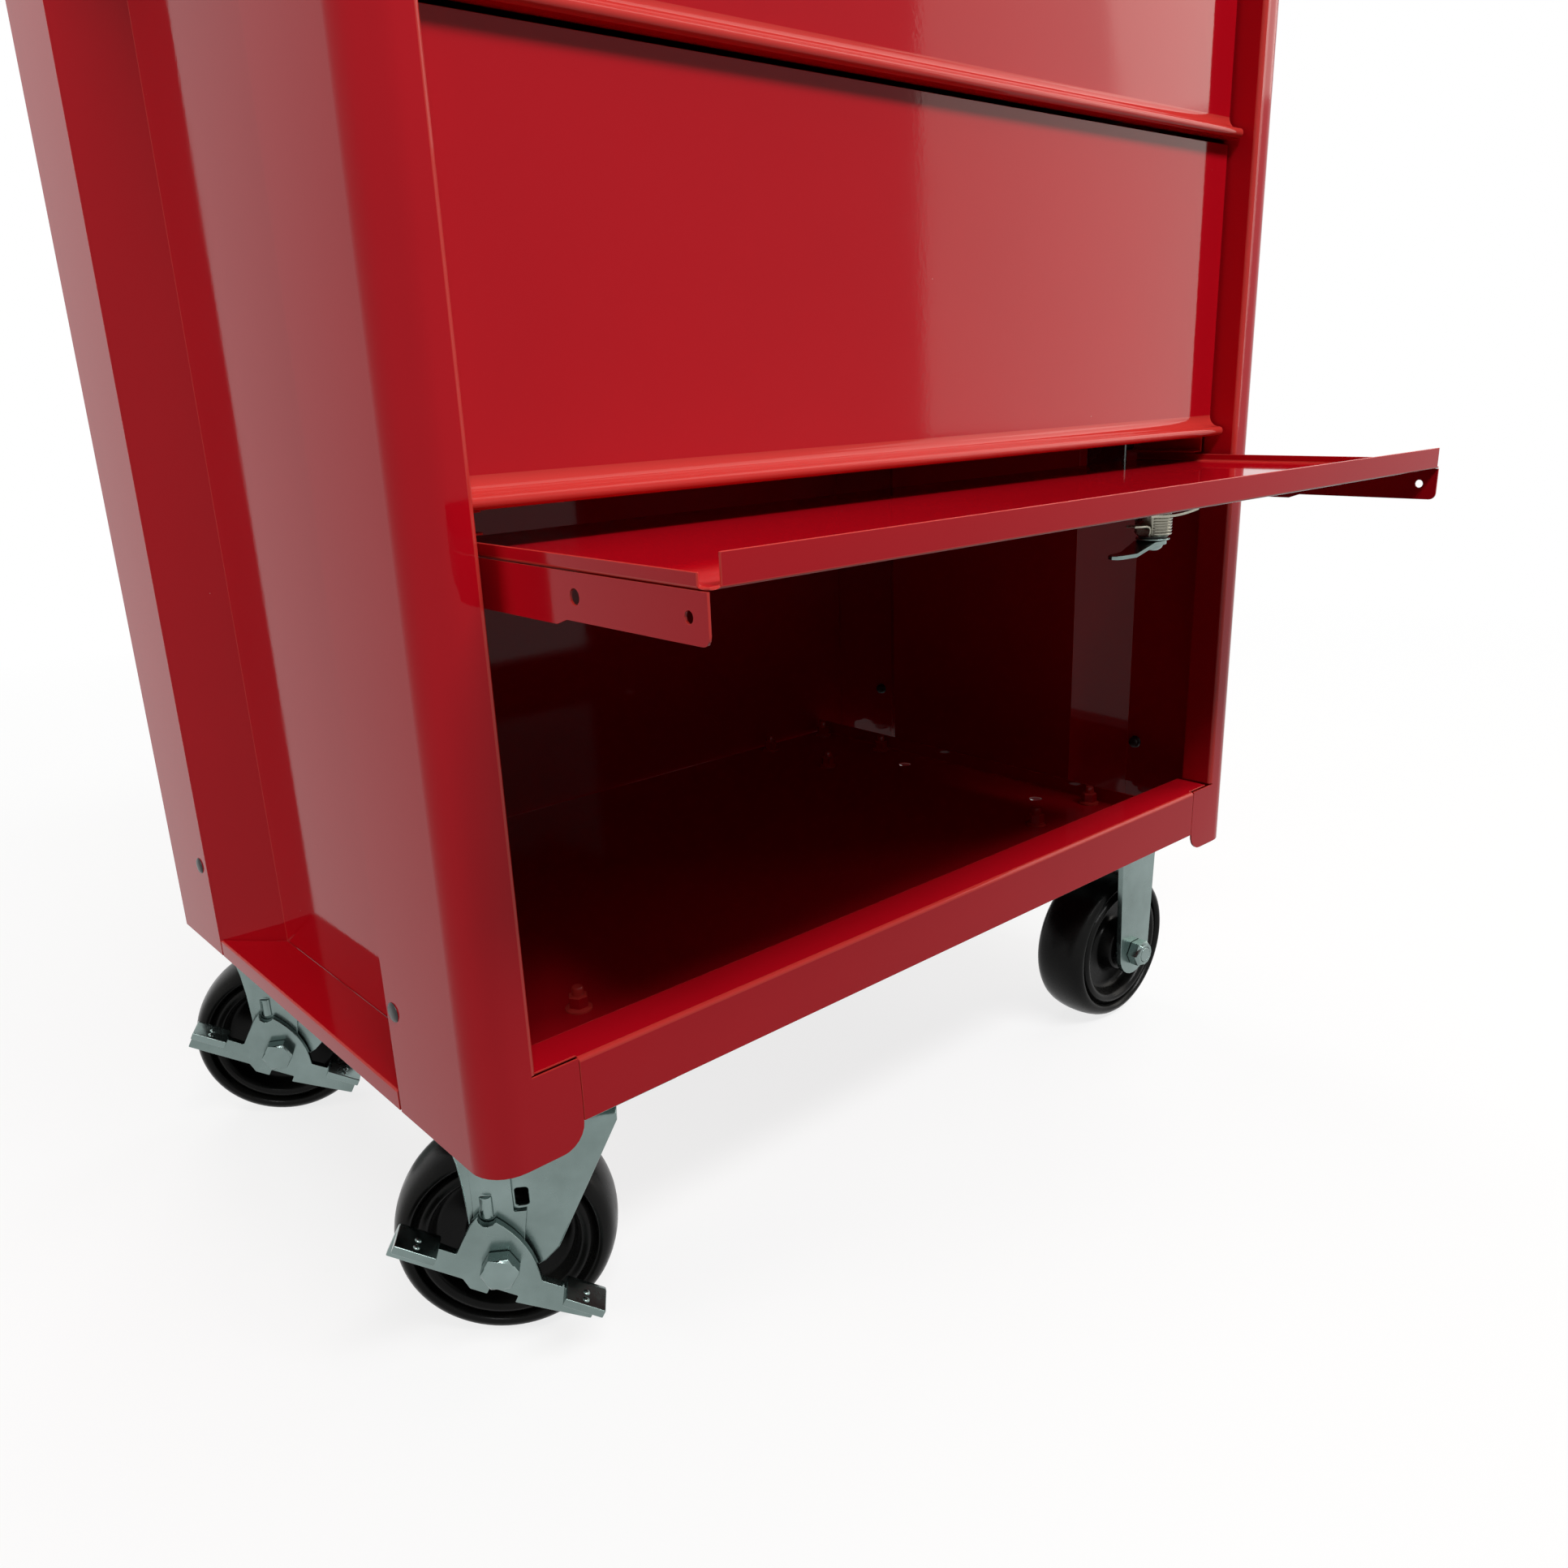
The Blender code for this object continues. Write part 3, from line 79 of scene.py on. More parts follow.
ahead = Vector((math.sin(YAW) * math.cos(PITCH), math.cos(YAW) * math.cos(PITCH), math.sin(PITCH)))
level_right = ahead.cross(Vector((0, 0, 1))).normalized()
level_up = level_right.cross(ahead)
right = math.cos(ROLL) * level_right + math.sin(ROLL) * level_up
up = -math.sin(ROLL) * level_right + math.cos(ROLL) * level_up

lens = bpy.data.cameras.new("photo_camera")
lens.lens = LENS_MM
lens.sensor_width = SENSOR_MM
lens.clip_start = NEAR_CLIP
camera = bpy.data.objects.new("photo_camera", lens)
camera.matrix_world = Matrix.Translation(EYE) @ Matrix((right, up, -ahead)).transposed().to_4x4()
bpy.context.scene.collection.objects.link(camera)
bpy.context.scene.camera = camera
print("camera at", [round(value, 3) for value in EYE], "with a", LENS_MM, "mm lens")

# %% [markdown]
# ## A shared surface texture
# Paint, plating and moulded plastic all vary a little over their surface: in tone, in gloss and in height. One
# shader group makes these three maps from noise, so each material only chooses its own scales. A group keeps the
# effect in one place; copying the same nodes into every material would make later changes easy to miss.

# %% Surface texture group
NOISE_DETAIL = {"Tone": 4.0, "Gloss": 3.0, "Relief": 2.0}
NOISE_ROUGHNESS = 0.55


def add_node(tree, kind, inputs=None, **settings):
    """One shader node with its settings and its unlinked input values."""
    made = tree.nodes.new(kind)
    for name, value in settings.items():
        setattr(made, name, value)
    for name, value in (inputs or {}).items():
        made.inputs[name].default_value = value
    return made


def surface_group():
    """Three noise maps and a map of specks over object coordinates, each with its own scale."""
    group = bpy.data.node_groups.new("surface_variation", "ShaderNodeTree")
    group.interface.new_socket("Vector", in_out="INPUT", socket_type="NodeSocketVector")
    for name, value in (("Tone Scale", 5.0), ("Gloss Scale", 30.0), ("Relief Scale", 400.0),
                        ("Speck Scale", 60.0), ("Speck Size", 0.03)):
        group.interface.new_socket(name, in_out="INPUT", socket_type="NodeSocketFloat").default_value = value
    for name in ("Tone", "Gloss", "Relief", "Specks"):
        group.interface.new_socket(name, in_out="OUTPUT", socket_type="NodeSocketFloat")
    start = group.nodes.new("NodeGroupInput")
    end = group.nodes.new("NodeGroupOutput")
    for name, detail in NOISE_DETAIL.items():
        noise = add_node(group, "ShaderNodeTexNoise", {"Detail": detail, "Roughness": NOISE_ROUGHNESS})
        group.links.new(start.outputs["Vector"], noise.inputs["Vector"])
        group.links.new(start.outputs[name + " Scale"], noise.inputs["Scale"])
        group.links.new(noise.outputs["Fac"], end.inputs[name])
    cells = add_node(group, "ShaderNodeTexVoronoi", {"Randomness": 1.0})
    group.links.new(start.outputs["Vector"], cells.inputs["Vector"])
    group.links.new(start.outputs["Speck Scale"], cells.inputs["Scale"])
    small = add_node(group, "ShaderNodeMath", operation="LESS_THAN")
    group.links.new(cells.outputs["Distance"], small.inputs[0])
    group.links.new(start.outputs["Speck Size"], small.inputs[1])
    group.links.new(small.outputs["Value"], end.inputs["Specks"])
    return group


SURFACE = surface_group()
print("shared texture outputs:", [item.name for item in SURFACE.interface.items_tree if item.in_out == "OUTPUT"])

# %% [markdown]
# ## The finishes
# The body has a deep red gloss paint with a faint orange peel. Casters, brakes and slides are zinc plated: a
# bluish grey metal with cloudy, slightly greenish patches. The lock is nickel plated, the wheels are a hard black
# moulded compound, and the plugs in the posts are black plastic. Every finish is a Principled shader whose
# changing values come from the shared group, while values that are the same everywhere sit on its own sockets.
# The red one also reads a face attribute that paints folds, rolls and cut edges a lighter red: a painted highlight.

# %% Materials
TONE_SPREAD = {"From Min": 0.32, "From Max": 0.68}
GLOSS_SPREAD = {"From Min": 0.3, "From Max": 0.7}


def mix_color(tree, factor, base, over):
    """Blend a colour socket, or a plain colour, towards another plain colour."""
    mix = add_node(tree, "ShaderNodeMix", data_type="RGBA")
    if isinstance(base, tuple):
        mix.inputs["A"].default_value = (*base, 1.0)
    else:
        tree.links.new(base, mix.inputs["A"])
    mix.inputs["B"].default_value = (*over, 1.0)
    tree.links.new(factor, mix.inputs["Factor"])
    return mix.outputs["Result"]


def finish(name, dark, light, gloss, scales, relief, speck_color=None, painted_highlight_color=None, **sockets):
    """A Principled material: tone mixes dark and light, gloss gives the roughness range, relief the bump."""
    material = bpy.data.materials.new(name)
    material.use_nodes = True
    material.diffuse_color = (*light, 1.0)
    tree = material.node_tree
    shader = tree.nodes["Principled BSDF"]
    for socket, value in sockets.items():
        shader.inputs[socket.replace("_", " ")].default_value = value
    place = tree.nodes.new("ShaderNodeTexCoord")
    surface = add_node(tree, "ShaderNodeGroup", node_tree=SURFACE)
    for socket, value in scales.items():
        surface.inputs[socket].default_value = value
    tree.links.new(place.outputs["Object"], surface.inputs["Vector"])

    spread = add_node(tree, "ShaderNodeMapRange", TONE_SPREAD)
    tree.links.new(surface.outputs["Tone"], spread.inputs["Value"])
    color = mix_color(tree, spread.outputs["Result"], dark, light)
    if speck_color:
        color = mix_color(tree, surface.outputs["Specks"], color, speck_color)
    # Painted highlight: faces marked by the attribute turn a lighter red, standing in for the light that folds,
    # rolls and cut edges catch.
    if painted_highlight_color:
        thin = add_node(tree, "ShaderNodeAttribute", attribute_name="painted_edge_highlight")
        color = mix_color(tree, thin.outputs["Fac"], color, painted_highlight_color)
    tree.links.new(color, shader.inputs["Base Color"])

    rough = add_node(tree, "ShaderNodeMapRange", {**GLOSS_SPREAD, "To Min": gloss[0], "To Max": gloss[1]})
    tree.links.new(surface.outputs["Gloss"], rough.inputs["Value"])
    tree.links.new(rough.outputs["Result"], shader.inputs["Roughness"])
    bump = add_node(tree, "ShaderNodeBump", {"Strength": relief[0], "Distance": relief[1]})
    tree.links.new(surface.outputs["Relief"], bump.inputs["Height"])
    tree.links.new(bump.outputs["Normal"], shader.inputs["Normal"])
    return material


# Of the two colours after the relief, the first is for dust specks and the second is a painted highlight on folds,
# rolls and cut edges.
RED = finish("red_gloss_paint", (0.415, 0.0022, 0.0085), (0.445, 0.0030, 0.0100), (0.035, 0.075),
             {"Tone Scale": 4.0, "Gloss Scale": 14.0, "Relief Scale": 330.0, "Speck Scale": 34.0,
              "Speck Size": 0.012},
             (0.03, 0.0004), (0.45, 0.16, 0.15), (0.64, 0.080, 0.055), Specular_IOR_Level=0.12)
ZINC = finish("zinc_plated_steel", (0.165, 0.215, 0.205), (0.225, 0.290, 0.280), (0.17, 0.32),
              {"Tone Scale": 26.0, "Gloss Scale": 60.0, "Relief Scale": 700.0}, (0.06, 0.0003), Metallic=1.0)
NICKEL = finish("nickel_plate", (0.25, 0.24, 0.195), (0.34, 0.33, 0.275), (0.2, 0.32),
                {"Tone Scale": 90.0, "Gloss Scale": 120.0, "Relief Scale": 900.0}, (0.05, 0.0002), Metallic=1.0)
WHEEL = finish("black_moulded_compound", (0.0035, 0.0035, 0.0035), (0.007, 0.007, 0.0065), (0.2, 0.34),
               {"Tone Scale": 40.0, "Gloss Scale": 55.0, "Relief Scale": 520.0, "Speck Scale": 190.0,
                "Speck Size": 0.05},
               (0.08, 0.0003), (0.02, 0.02, 0.018), Specular_IOR_Level=0.1)
PLUG = finish("black_plug_plastic", (0.007, 0.008, 0.008), (0.012, 0.013, 0.013), (0.3, 0.42),
              {"Tone Scale": 120.0, "Gloss Scale": 160.0, "Relief Scale": 900.0}, (0.05, 0.0002))
print("finishes:", [m.name for m in (RED, ZINC, NICKEL, WHEEL, PLUG)])

# %% [markdown]
# ## Rounded edges on the solids
# A cut sheet edge is never knife sharp: paint pulls back to a small round, and a pressed fork has a larger one.
# The solids have sharp edges, so a merged copy of each gets a Bevel of its own width and stands for the solid. The
# copy is made from points and faces only, because the imported corner normals would fight the new rounds. Narrow
# faces of painted pieces, which are folds, rolls and cut edges, are marked here for a painted highlight: a lighter
# red that stands in for the light they catch.

# %% Rounded copies
SHEET_ROUND = (0.0013, 3)
CUT_SHARE = 0.28
CUT_FACE_WIDTH = 0.0026
PAINTED_HIGHLIGHT_SHARE = 0.38
SAME_POINT = 2e-6
SAME_PLANE_ANGLE = math.radians(0.5)
SAME_PLANE_COSINE = 0.9999
EDGE_ANGLE = math.radians(30)
FLAT_FACE_WEIGHT = 80
ROUND_BY_KIND = {"_caster_fork": (0.0012, 3), "_brake_lever": (0.0010, 3), "_caster_plate": (0.0009, 2),
                 "_axle_bolt": (0.0007, 2), "_axle_nut": (0.0007, 2), "_brake_spring": (0.0004, 2),
                 "_caster_sleeve": (0.0005, 2), "lock_": (0.0005, 2)}
FINISH_OF_SLOT = {"red_paint": RED, "zinc_plate": ZINC, "nickel_plate": NICKEL, "black_wheel": WHEEL}
slot_of = {part["node"]: part["material_slot"] for part in frame["record"]["subparts"]}


def piece_from(mesh, name, body, slot, material=None):
    """Link a finished mesh, which already lies in place, as a piece that moves with a body."""
    mesh.materials.clear()
    mesh.materials.append(material or FINISH_OF_SLOT[slot])
    piece = bpy.data.objects.new(name, mesh)
    bpy.context.scene.collection.objects.link(piece)
    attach(piece, body)
    return piece


def evaluated_mesh(worker, name):
    """The worker object's mesh with its modifiers applied, as plain mesh data; the worker is removed."""
    graph = bpy.context.evaluated_depsgraph_get()
    mesh = bpy.data.meshes.new_from_object(worker.evaluated_get(graph), depsgraph=graph)
    mesh.name = name
    bpy.data.objects.remove(worker)
    return mesh


def merged_copy(node):
    """A copy of a solid's mesh with its triangles merged into whole faces."""
    source = solids[node].data
    shape = bmesh.new()
    corners = [shape.verts.new(vertex.co) for vertex in source.vertices]
    for polygon in source.polygons:
        shape.faces.new([corners[index] for index in polygon.vertices])
    bmesh.ops.remove_doubles(shape, verts=shape.verts[:], dist=SAME_POINT)
    bmesh.ops.dissolve_limit(shape, angle_limit=SAME_PLANE_ANGLE, verts=shape.verts[:], edges=shape.edges[:])
    for face in shape.faces:
        face.smooth = True
    return shape


def mesh_of(shape, name):
    """Turn a worked shape into mesh data and free it."""
    mesh = bpy.data.meshes.new(name)
    shape.to_mesh(mesh)
    shape.free()
    return mesh


def bevelled_mesh(mesh, name, made_name, width, segments, **settings):
    """Round a mesh's edges with a Bevel, and let its flat faces lead the shading."""
    worker = bpy.data.objects.new(name + "_worker", mesh)
    bpy.context.scene.collection.objects.link(worker)
    bevel = worker.modifiers.new("edge_round", "BEVEL")
    bevel.width = width
    bevel.segments = segments
    for setting, value in settings.items():
        setattr(bevel, setting, value)
    worker.modifiers.new("flat_faces_lead", "WEIGHTED_NORMAL").weight = FLAT_FACE_WEIGHT
    return evaluated_mesh(worker, made_name)


def face_width(face):
    """A face's area over its longest edge."""
    return face.calc_area() / max(edge.calc_length() for edge in face.edges)


def mark_painted_edge_highlight(mesh):
    """Give every fold, tight roll and cut edge a painted highlight: narrow faces not level with a wide one."""
    points = mesh.vertices
    narrow = []
    sides = {}
    for polygon in mesh.polygons:
        longest = max((points[a].co - points[b].co).length for a, b in polygon.edge_keys)
        narrow.append(polygon.area / longest < CUT_FACE_WIDTH)
        for key in polygon.edge_keys:
            sides.setdefault(key, []).append(polygon)
    level = set()
    for pair in sides.values():
        if len(pair) == 2 and pair[0].normal.dot(pair[1].normal) > SAME_PLANE_COSINE:
            for one, other in (pair, pair[::-1]):
                if not narrow[other.index]:
                    level.add(one.index)
    thin = mesh.attributes.new("painted_edge_highlight", "FLOAT", "FACE")
    for number, entry in enumerate(thin.data):
        entry.value = PAINTED_HIGHLIGHT_SHARE if narrow[number] and number not in level else 0.0


def rounded_piece(node):
    """Round a solid's edges: folds of a sheet get the full width, cut edges of a thin sheet a share of it.

    The rim of an open drawer box stays sharp, because a bevel would fold its one slim ring over itself.
    """
    width, segments = SHEET_ROUND
    for kind, values in ROUND_BY_KIND.items():
        if kind in node:
            width, segments = values
    cut_weight = 1.0
    if width == SHEET_ROUND[0]:
        cut_weight = 0.0 if "_drawer_box" in node else CUT_SHARE
    shape = merged_copy(node)
    weight = shape.edges.layers.float.new("bevel_weight_edge")
    for edge in shape.edges:
        if len(edge.link_faces) == 2 and edge.calc_face_angle() > EDGE_ANGLE:
            thin = min(face_width(face) for face in edge.link_faces) < CUT_FACE_WIDTH
            edge[weight] = cut_weight if thin else 1.0
    made = bevelled_mesh(mesh_of(shape, node + "_merged"), node, node + "_round", width, segments,
                         limit_method="WEIGHT", miter_outer="MITER_ARC")
    # Red pieces get the painted highlight, a lighter red, on their narrow faces.
    if slot_of[node] == "red_paint":
        mark_painted_edge_highlight(made)
    piece = piece_from(made, node + "_round", body_of[node], slot_of[node])
    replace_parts(piece, node)
    return piece


OWN_SHAPES = ("lock_barrel", "lock_clip")
rounded = [rounded_piece(node) for node in solids
           if slot_of[node] != "black_wheel" and node not in OWN_SHAPES]
print("rounded pieces:", len(rounded), "faces:", sum(len(piece.data.polygons) for piece in rounded))

# %% [markdown]
# ## Caps over the side recesses
# Under the cover, the recess in each side would let light through above the drawers. A flat cap closes it, cut to
# the plan of the ledge at the recess's foot, so the ledge's own corner points give its outline.

# %% Recess caps
CAP_GAUGE = 0.0012
CAP_ROOM = 0.0004
CAP_ROUND = CAP_GAUGE * 0.2
SAME_LEVEL = 1e-5


def recess_cap(side):
    """A flat plate under the cover with the outline of one side's ledge."""
    ledge = [vertex.co for vertex in solids[side + "_ledge"].data.vertices]
    plate_top = max(point.z for point in ledge)
    plan = [point for point in ledge if point.z > plate_top - SAME_LEVEL]
    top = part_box(side + "_side_panel")[1].z - CAP_ROOM
    corners = []
    for x in (min(point.x for point in plan), max(point.x for point in plan)):
        reach = [point.y for point in plan if abs(point.x - x) < SAME_LEVEL]
        corners.append((x, min(reach)))
        corners.append((x, max(reach)))
    ring = [corners[index] for index in (0, 1, 3, 2)]
    shape = bmesh.new()
    rows = [[shape.verts.new((x, y, z)) for x, y in ring] for z in (top - CAP_GAUGE, top)]
    shape.faces.new(rows[0])
    shape.faces.new(rows[1])
    for k in range(4):
        shape.faces.new((rows[0][k - 1], rows[0][k], rows[1][k], rows[1][k - 1]))
    bmesh.ops.recalc_face_normals(shape, faces=shape.faces[:])
    bmesh.ops.bevel(shape, geom=shape.edges[:], offset=CAP_ROUND, segments=2, profile=0.5, affect="EDGES")
    return piece_from(mesh_of(shape, side + "_recess_cap"), side + "_recess_cap", "cabinet", "red_paint")


caps = [recess_cap(side) for side in ("left", "right")]
print("caps:", [tuple(round(size, 4) for size in cap.dimensions) for cap in caps])

# %% [markdown]
# ## The wheels
# Each wheel is moulded in one shot: a crowned tread, a groove, a raised ring and a deep smooth web around the
# hub. A turned shape follows from one profile, so the profile is listed once, from the hub's end face out to the
# middle of the tread, mirrored, and swept round the axle.

# %% Turned wheel
WHEEL_PROFILE_MM = ((9.6, 23.5), (17.2, 23.5), (18.5, 22.9), (19.2, 21.5), (20.4, 12.6), (21.4, 10.4), (23.6, 9.0),
                    (27.0, 8.5), (36.0, 8.3), (38.6, 9.0), (40.2, 10.8), (41.0, 13.4), (41.8, 17.4), (42.8, 19.8),
                    (44.4, 21.2), (46.2, 21.6), (48.0, 21.1), (49.3, 19.6), (50.1, 17.4), (50.8, 16.3), (51.5, 17.0),
                    (52.1, 19.0), (53.0, 21.0), (54.4, 21.9), (56.2, 21.7), (58.2, 20.6), (60.2, 18.2), (61.6, 15.0),
                    (62.6, 11.0), (63.2, 6.8), (63.45, 3.4), (63.5, 0.0))
WHEEL_STEPS = 96
WHEEL_SHARP_ANGLE = math.radians(50)
ON_AXIS = 1e-9


def turned_mesh(name, profile, steps, closed):
    """Sweep (radius, height) points round Z; a closed profile also joins its last point to its first."""
    shape = bmesh.new()
    rings = []
    for radius, height in profile:
        count = steps if radius > ON_AXIS else 1
        rings.append([shape.verts.new((radius * math.cos(2 * math.pi * k / steps),
                                       radius * math.sin(2 * math.pi * k / steps), height))
                      for k in range(count)])
    pairs = list(zip(rings, rings[1:]))
    if closed:
        pairs.append((rings[-1], rings[0]))
    for low, high in pairs:
        for k in range(steps):
            corners = [low[k % len(low)], low[(k + 1) % len(low)], high[(k + 1) % len(high)], high[k % len(high)]]
            shape.faces.new(list(dict.fromkeys(corners)))
    bmesh.ops.recalc_face_normals(shape, faces=shape.faces[:])
    for face in shape.faces:
        face.smooth = True
    return mesh_of(shape, name)


half = [(radius / 1000, side / 1000) for radius, side in WHEEL_PROFILE_MM]
wheel_profile = half + [(radius, -side) for radius, side in reversed(half[:-1])]
wheel_mesh = turned_mesh("wheel", wheel_profile, WHEEL_STEPS, closed=True)
wheel_mesh.set_sharp_from_angle(angle=WHEEL_SHARP_ANGLE)


def axle_matrix(joint_name):
    """Places a shape made round Z on a wheel's axle."""
    joint = joints[joint_name]
    axle = Vector(joint["axis"]).normalized()
    ahead_of_axle = axle.cross(Vector((0, 0, 1))).normalized()
    turn = Matrix((ahead_of_axle, axle.cross(ahead_of_axle), axle)).transposed()
    return Matrix.Translation(Vector(joint["pos_m"])) @ turn.to_4x4()


CORNERS = ("left_front", "left_rear", "right_front", "right_rear")
for corner in CORNERS:
    mesh = wheel_mesh.copy()
    mesh.transform(axle_matrix(corner + "_wheel_roll"))
    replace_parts(piece_from(mesh, corner + "_wheel_turned", corner + "_wheel", "black_wheel"),
                corner + "_caster_wheel")
print("wheel faces:", len(wheel_mesh.polygons), "for each of", len(CORNERS))

# %% [markdown]
# ## Fasteners
# Four bolts hold each caster: the heads sit under the plate and flanged nuts stand on the cabinet floor. Two
# black plugs close the holes in each post side, and a screw holds the lock's tongue. One tree places any of them:
# it reads points that carry a direction and stands a modelled fastener on each. Placing them by hand would work,
# but a tree keeps one shape and one list of places.

# %% Tree helpers
def tree_with(name, inputs):
    """A Geometry Nodes tree with a Geometry input and output and the named inputs."""
    tree = bpy.data.node_groups.new(name, "GeometryNodeTree")
    tree.interface.new_socket("Geometry", in_out="INPUT", socket_type="NodeSocketGeometry")
    for label, kind in inputs:
        tree.interface.new_socket(label, in_out="INPUT", socket_type=kind)
    tree.interface.new_socket("Geometry", in_out="OUTPUT", socket_type="NodeSocketGeometry")
    return tree, tree.nodes.new("NodeGroupInput"), tree.nodes.new("NodeGroupOutput")


def end_tree(tree, start, end, geometry):
    """Close a tree with Realize Instances and Set Material."""
    real = tree.nodes.new("GeometryNodeRealizeInstances")
    coat = tree.nodes.new("GeometryNodeSetMaterial")
    tree.links.new(geometry, real.inputs["Geometry"])
    tree.links.new(real.outputs["Geometry"], coat.inputs["Geometry"])
    tree.links.new(start.outputs["Material"], coat.inputs["Material"])
    tree.links.new(coat.outputs["Geometry"], end.inputs["Geometry"])


def tree_mesh(tree, name, base_mesh, values):
    """Run a tree on a base mesh with the named input values and return the plain mesh."""
    worker = bpy.data.objects.new(name + "_worker", base_mesh)
    bpy.context.scene.collection.objects.link(worker)
    modifier = worker.modifiers.new(name, "NODES")
    modifier.node_group = tree
    for item in tree.interface.items_tree:
        if item.in_out == "INPUT" and item.name in values:
            modifier[item.identifier] = values[item.name]
    return evaluated_mesh(worker, name)


print("helpers for trees are ready")

# %% Fastener tree
fastener_tree, start, end = tree_with("fasteners_on_points", (("Fastener", "NodeSocketObject"),
                                                              ("Material", "NodeSocketMaterial")))
facing = fastener_tree.nodes.new("GeometryNodeInputNamedAttribute")
facing.data_type = "FLOAT_VECTOR"
facing.inputs["Name"].default_value = "facing"
stand = fastener_tree.nodes.new("FunctionNodeAlignRotationToVector")
stand.axis = "Z"
fastener_tree.links.new(facing.outputs["Attribute"], stand.inputs["Vector"])
fastener_shape = fastener_tree.nodes.new("GeometryNodeObjectInfo")
fastener_tree.links.new(start.outputs["Fastener"], fastener_shape.inputs["Object"])
placed = fastener_tree.nodes.new("GeometryNodeInstanceOnPoints")
fastener_tree.links.new(start.outputs["Geometry"], placed.inputs["Points"])
fastener_tree.links.new(fastener_shape.outputs["Geometry"], placed.inputs["Instance"])
fastener_tree.links.new(stand.outputs["Rotation"], placed.inputs["Rotation"])
end_tree(fastener_tree, start, end, placed.outputs["Instances"])


def fasteners(name, template_mesh, places, body, slot, material):
    """Stand the template on each (point, direction) and make one piece of them."""
    points = bpy.data.meshes.new(name + "_points")
    points.from_pydata([place for place, direction in places], [], [])
    attribute = points.attributes.new("facing", "FLOAT_VECTOR", "POINT")
    for entry, (place, direction) in zip(attribute.data, places):
        entry.vector = direction
    template = bpy.data.objects.new(name + "_template", template_mesh)
    bpy.context.scene.collection.objects.link(template)
    mesh = tree_mesh(fastener_tree, name, points, {"Fastener": template, "Material": material})
    bpy.data.objects.remove(template)
    # Red nuts get the painted highlight, a lighter red, on their narrow faces too.
    if material == RED:
        mark_painted_edge_highlight(mesh)
    return piece_from(mesh, name, body, slot, material)


print("fastener tree nodes:", len(fastener_tree.nodes))

# %% Caster bolts, floor nuts and post plugs
BOLT_ACROSS = 0.037
BOLT_ALONG = 0.042
FLOOR_GAUGE = 0.0012
PLATE_GAUGE = 0.004
SHARP_ANGLE = math.radians(40)
UP = Vector((0, 0, 1))


def stacked_mesh(name, layers):
    """Join stacked (sides, profile in mm) shapes, each turned round Z, into one template mesh."""
    shape = bmesh.new()
    for sides, profile in layers:
        part = turned_mesh(name, [(radius / 1000, height / 1000) for radius, height in profile], sides, closed=False)
        shape.from_mesh(part)
        bpy.data.meshes.remove(part)
    mesh = mesh_of(shape, name)
    mesh.set_sharp_from_angle(angle=SHARP_ANGLE)
    return mesh


floor_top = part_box("floor_pan")[0].z + FLOOR_GAUGE
floor_places = []
head_places = []
for corner in CORNERS:
    plate_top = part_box(corner + "_caster_plate")[1].z
    seat = joints.get(corner + "_swivel_turn", joints[corner + "_wheel_roll"])["pos_m"]
    for across in (-BOLT_ACROSS, BOLT_ACROSS):
        for along in (-BOLT_ALONG, BOLT_ALONG):
            x, y = seat[0] + across, seat[1] + along
            floor_places.append((Vector((x, y, floor_top)), UP))
            head_places.append((Vector((x, y, plate_top - PLATE_GAUGE)), -UP))
flange_nut = stacked_mesh("flange_nut", (
    (24, ((0, 0), (8.4, 0), (8.4, 1.1), (7.8, 1.7), (6.3, 2.3), (0, 2.3))),
    (6, ((0, 1.5), (6.4, 1.5), (6.4, 8.8), (5.6, 9.6), (0, 9.6))),
    (16, ((0, 9.0), (3.7, 9.0), (3.7, 14.0), (3.1, 14.8), (0, 14.8)))))
hex_head = stacked_mesh("hex_head", ((6, ((0, 0), (7.5, 0), (7.5, 4.3), (6.7, 5.0), (0, 5.0))),))
plug = stacked_mesh("post_plug", (
    (28, ((0, -0.5), (4.8, -0.5), (5.5, 0.1), (5.4, 0.5), (4.6, 1.1), (2.8, 1.5), (0, 1.7))),))
fasteners("floor_flange_nuts", flange_nut, floor_places, "cabinet", "red_paint", RED)
fasteners("caster_bolt_heads", hex_head, head_places, "cabinet", "zinc_plate", ZINC)

PLUG_PLACES = ((-0.1390, 0.2148), (0.1646, 0.2153))
plug_places = []
for side in (-1, 1):
    for along, height in PLUG_PLACES:
        face_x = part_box("left_side_panel")[0].x if side < 0 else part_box("right_side_panel")[1].x
        plug_places.append((Vector((face_x, along, height)), Vector((side, 0, 0))))
fasteners("post_plugs", plug, plug_places, "cabinet", "black_wheel", PLUG)
print("floor nuts:", len(floor_places), "bolt heads:", len(head_places), "plugs:", len(plug_places))

# %% [markdown]
# A snap-in plug spreads behind the sheet, so a collar stands on the inside of each post, where it shows through the
# open compartment. It goes on the same points as its plug, one sheet's gauge further in, and looks the other way.

# %% Plug collars inside the posts
POST_GAUGE = 0.0012
plug_collar = stacked_mesh("plug_collar", ((20, ((0, -0.3), (5.2, -0.3), (5.2, 0.8), (4.5, 1.6), (4.3, 4.0),
                                                 (3.6, 4.4), (0, 4.4))),))
collar_places = [(place - direction * POST_GAUGE, -direction) for place, direction in plug_places]
fasteners("post_plug_collars", plug_collar, collar_places, "cabinet", "black_wheel", PLUG)
print("plug collars:", len(collar_places))

# %% [markdown]
# ## The door lock
# A cam lock hangs under the door: a threaded barrel with a spring clip on its flat side, a black ring, a washer, a
# tongue that steps down to its tip, and a screw. The thread follows a helix, so a tree sweeps a small diamond
# along a Spiral curve; a bump map would leave the barrel's outline smooth.

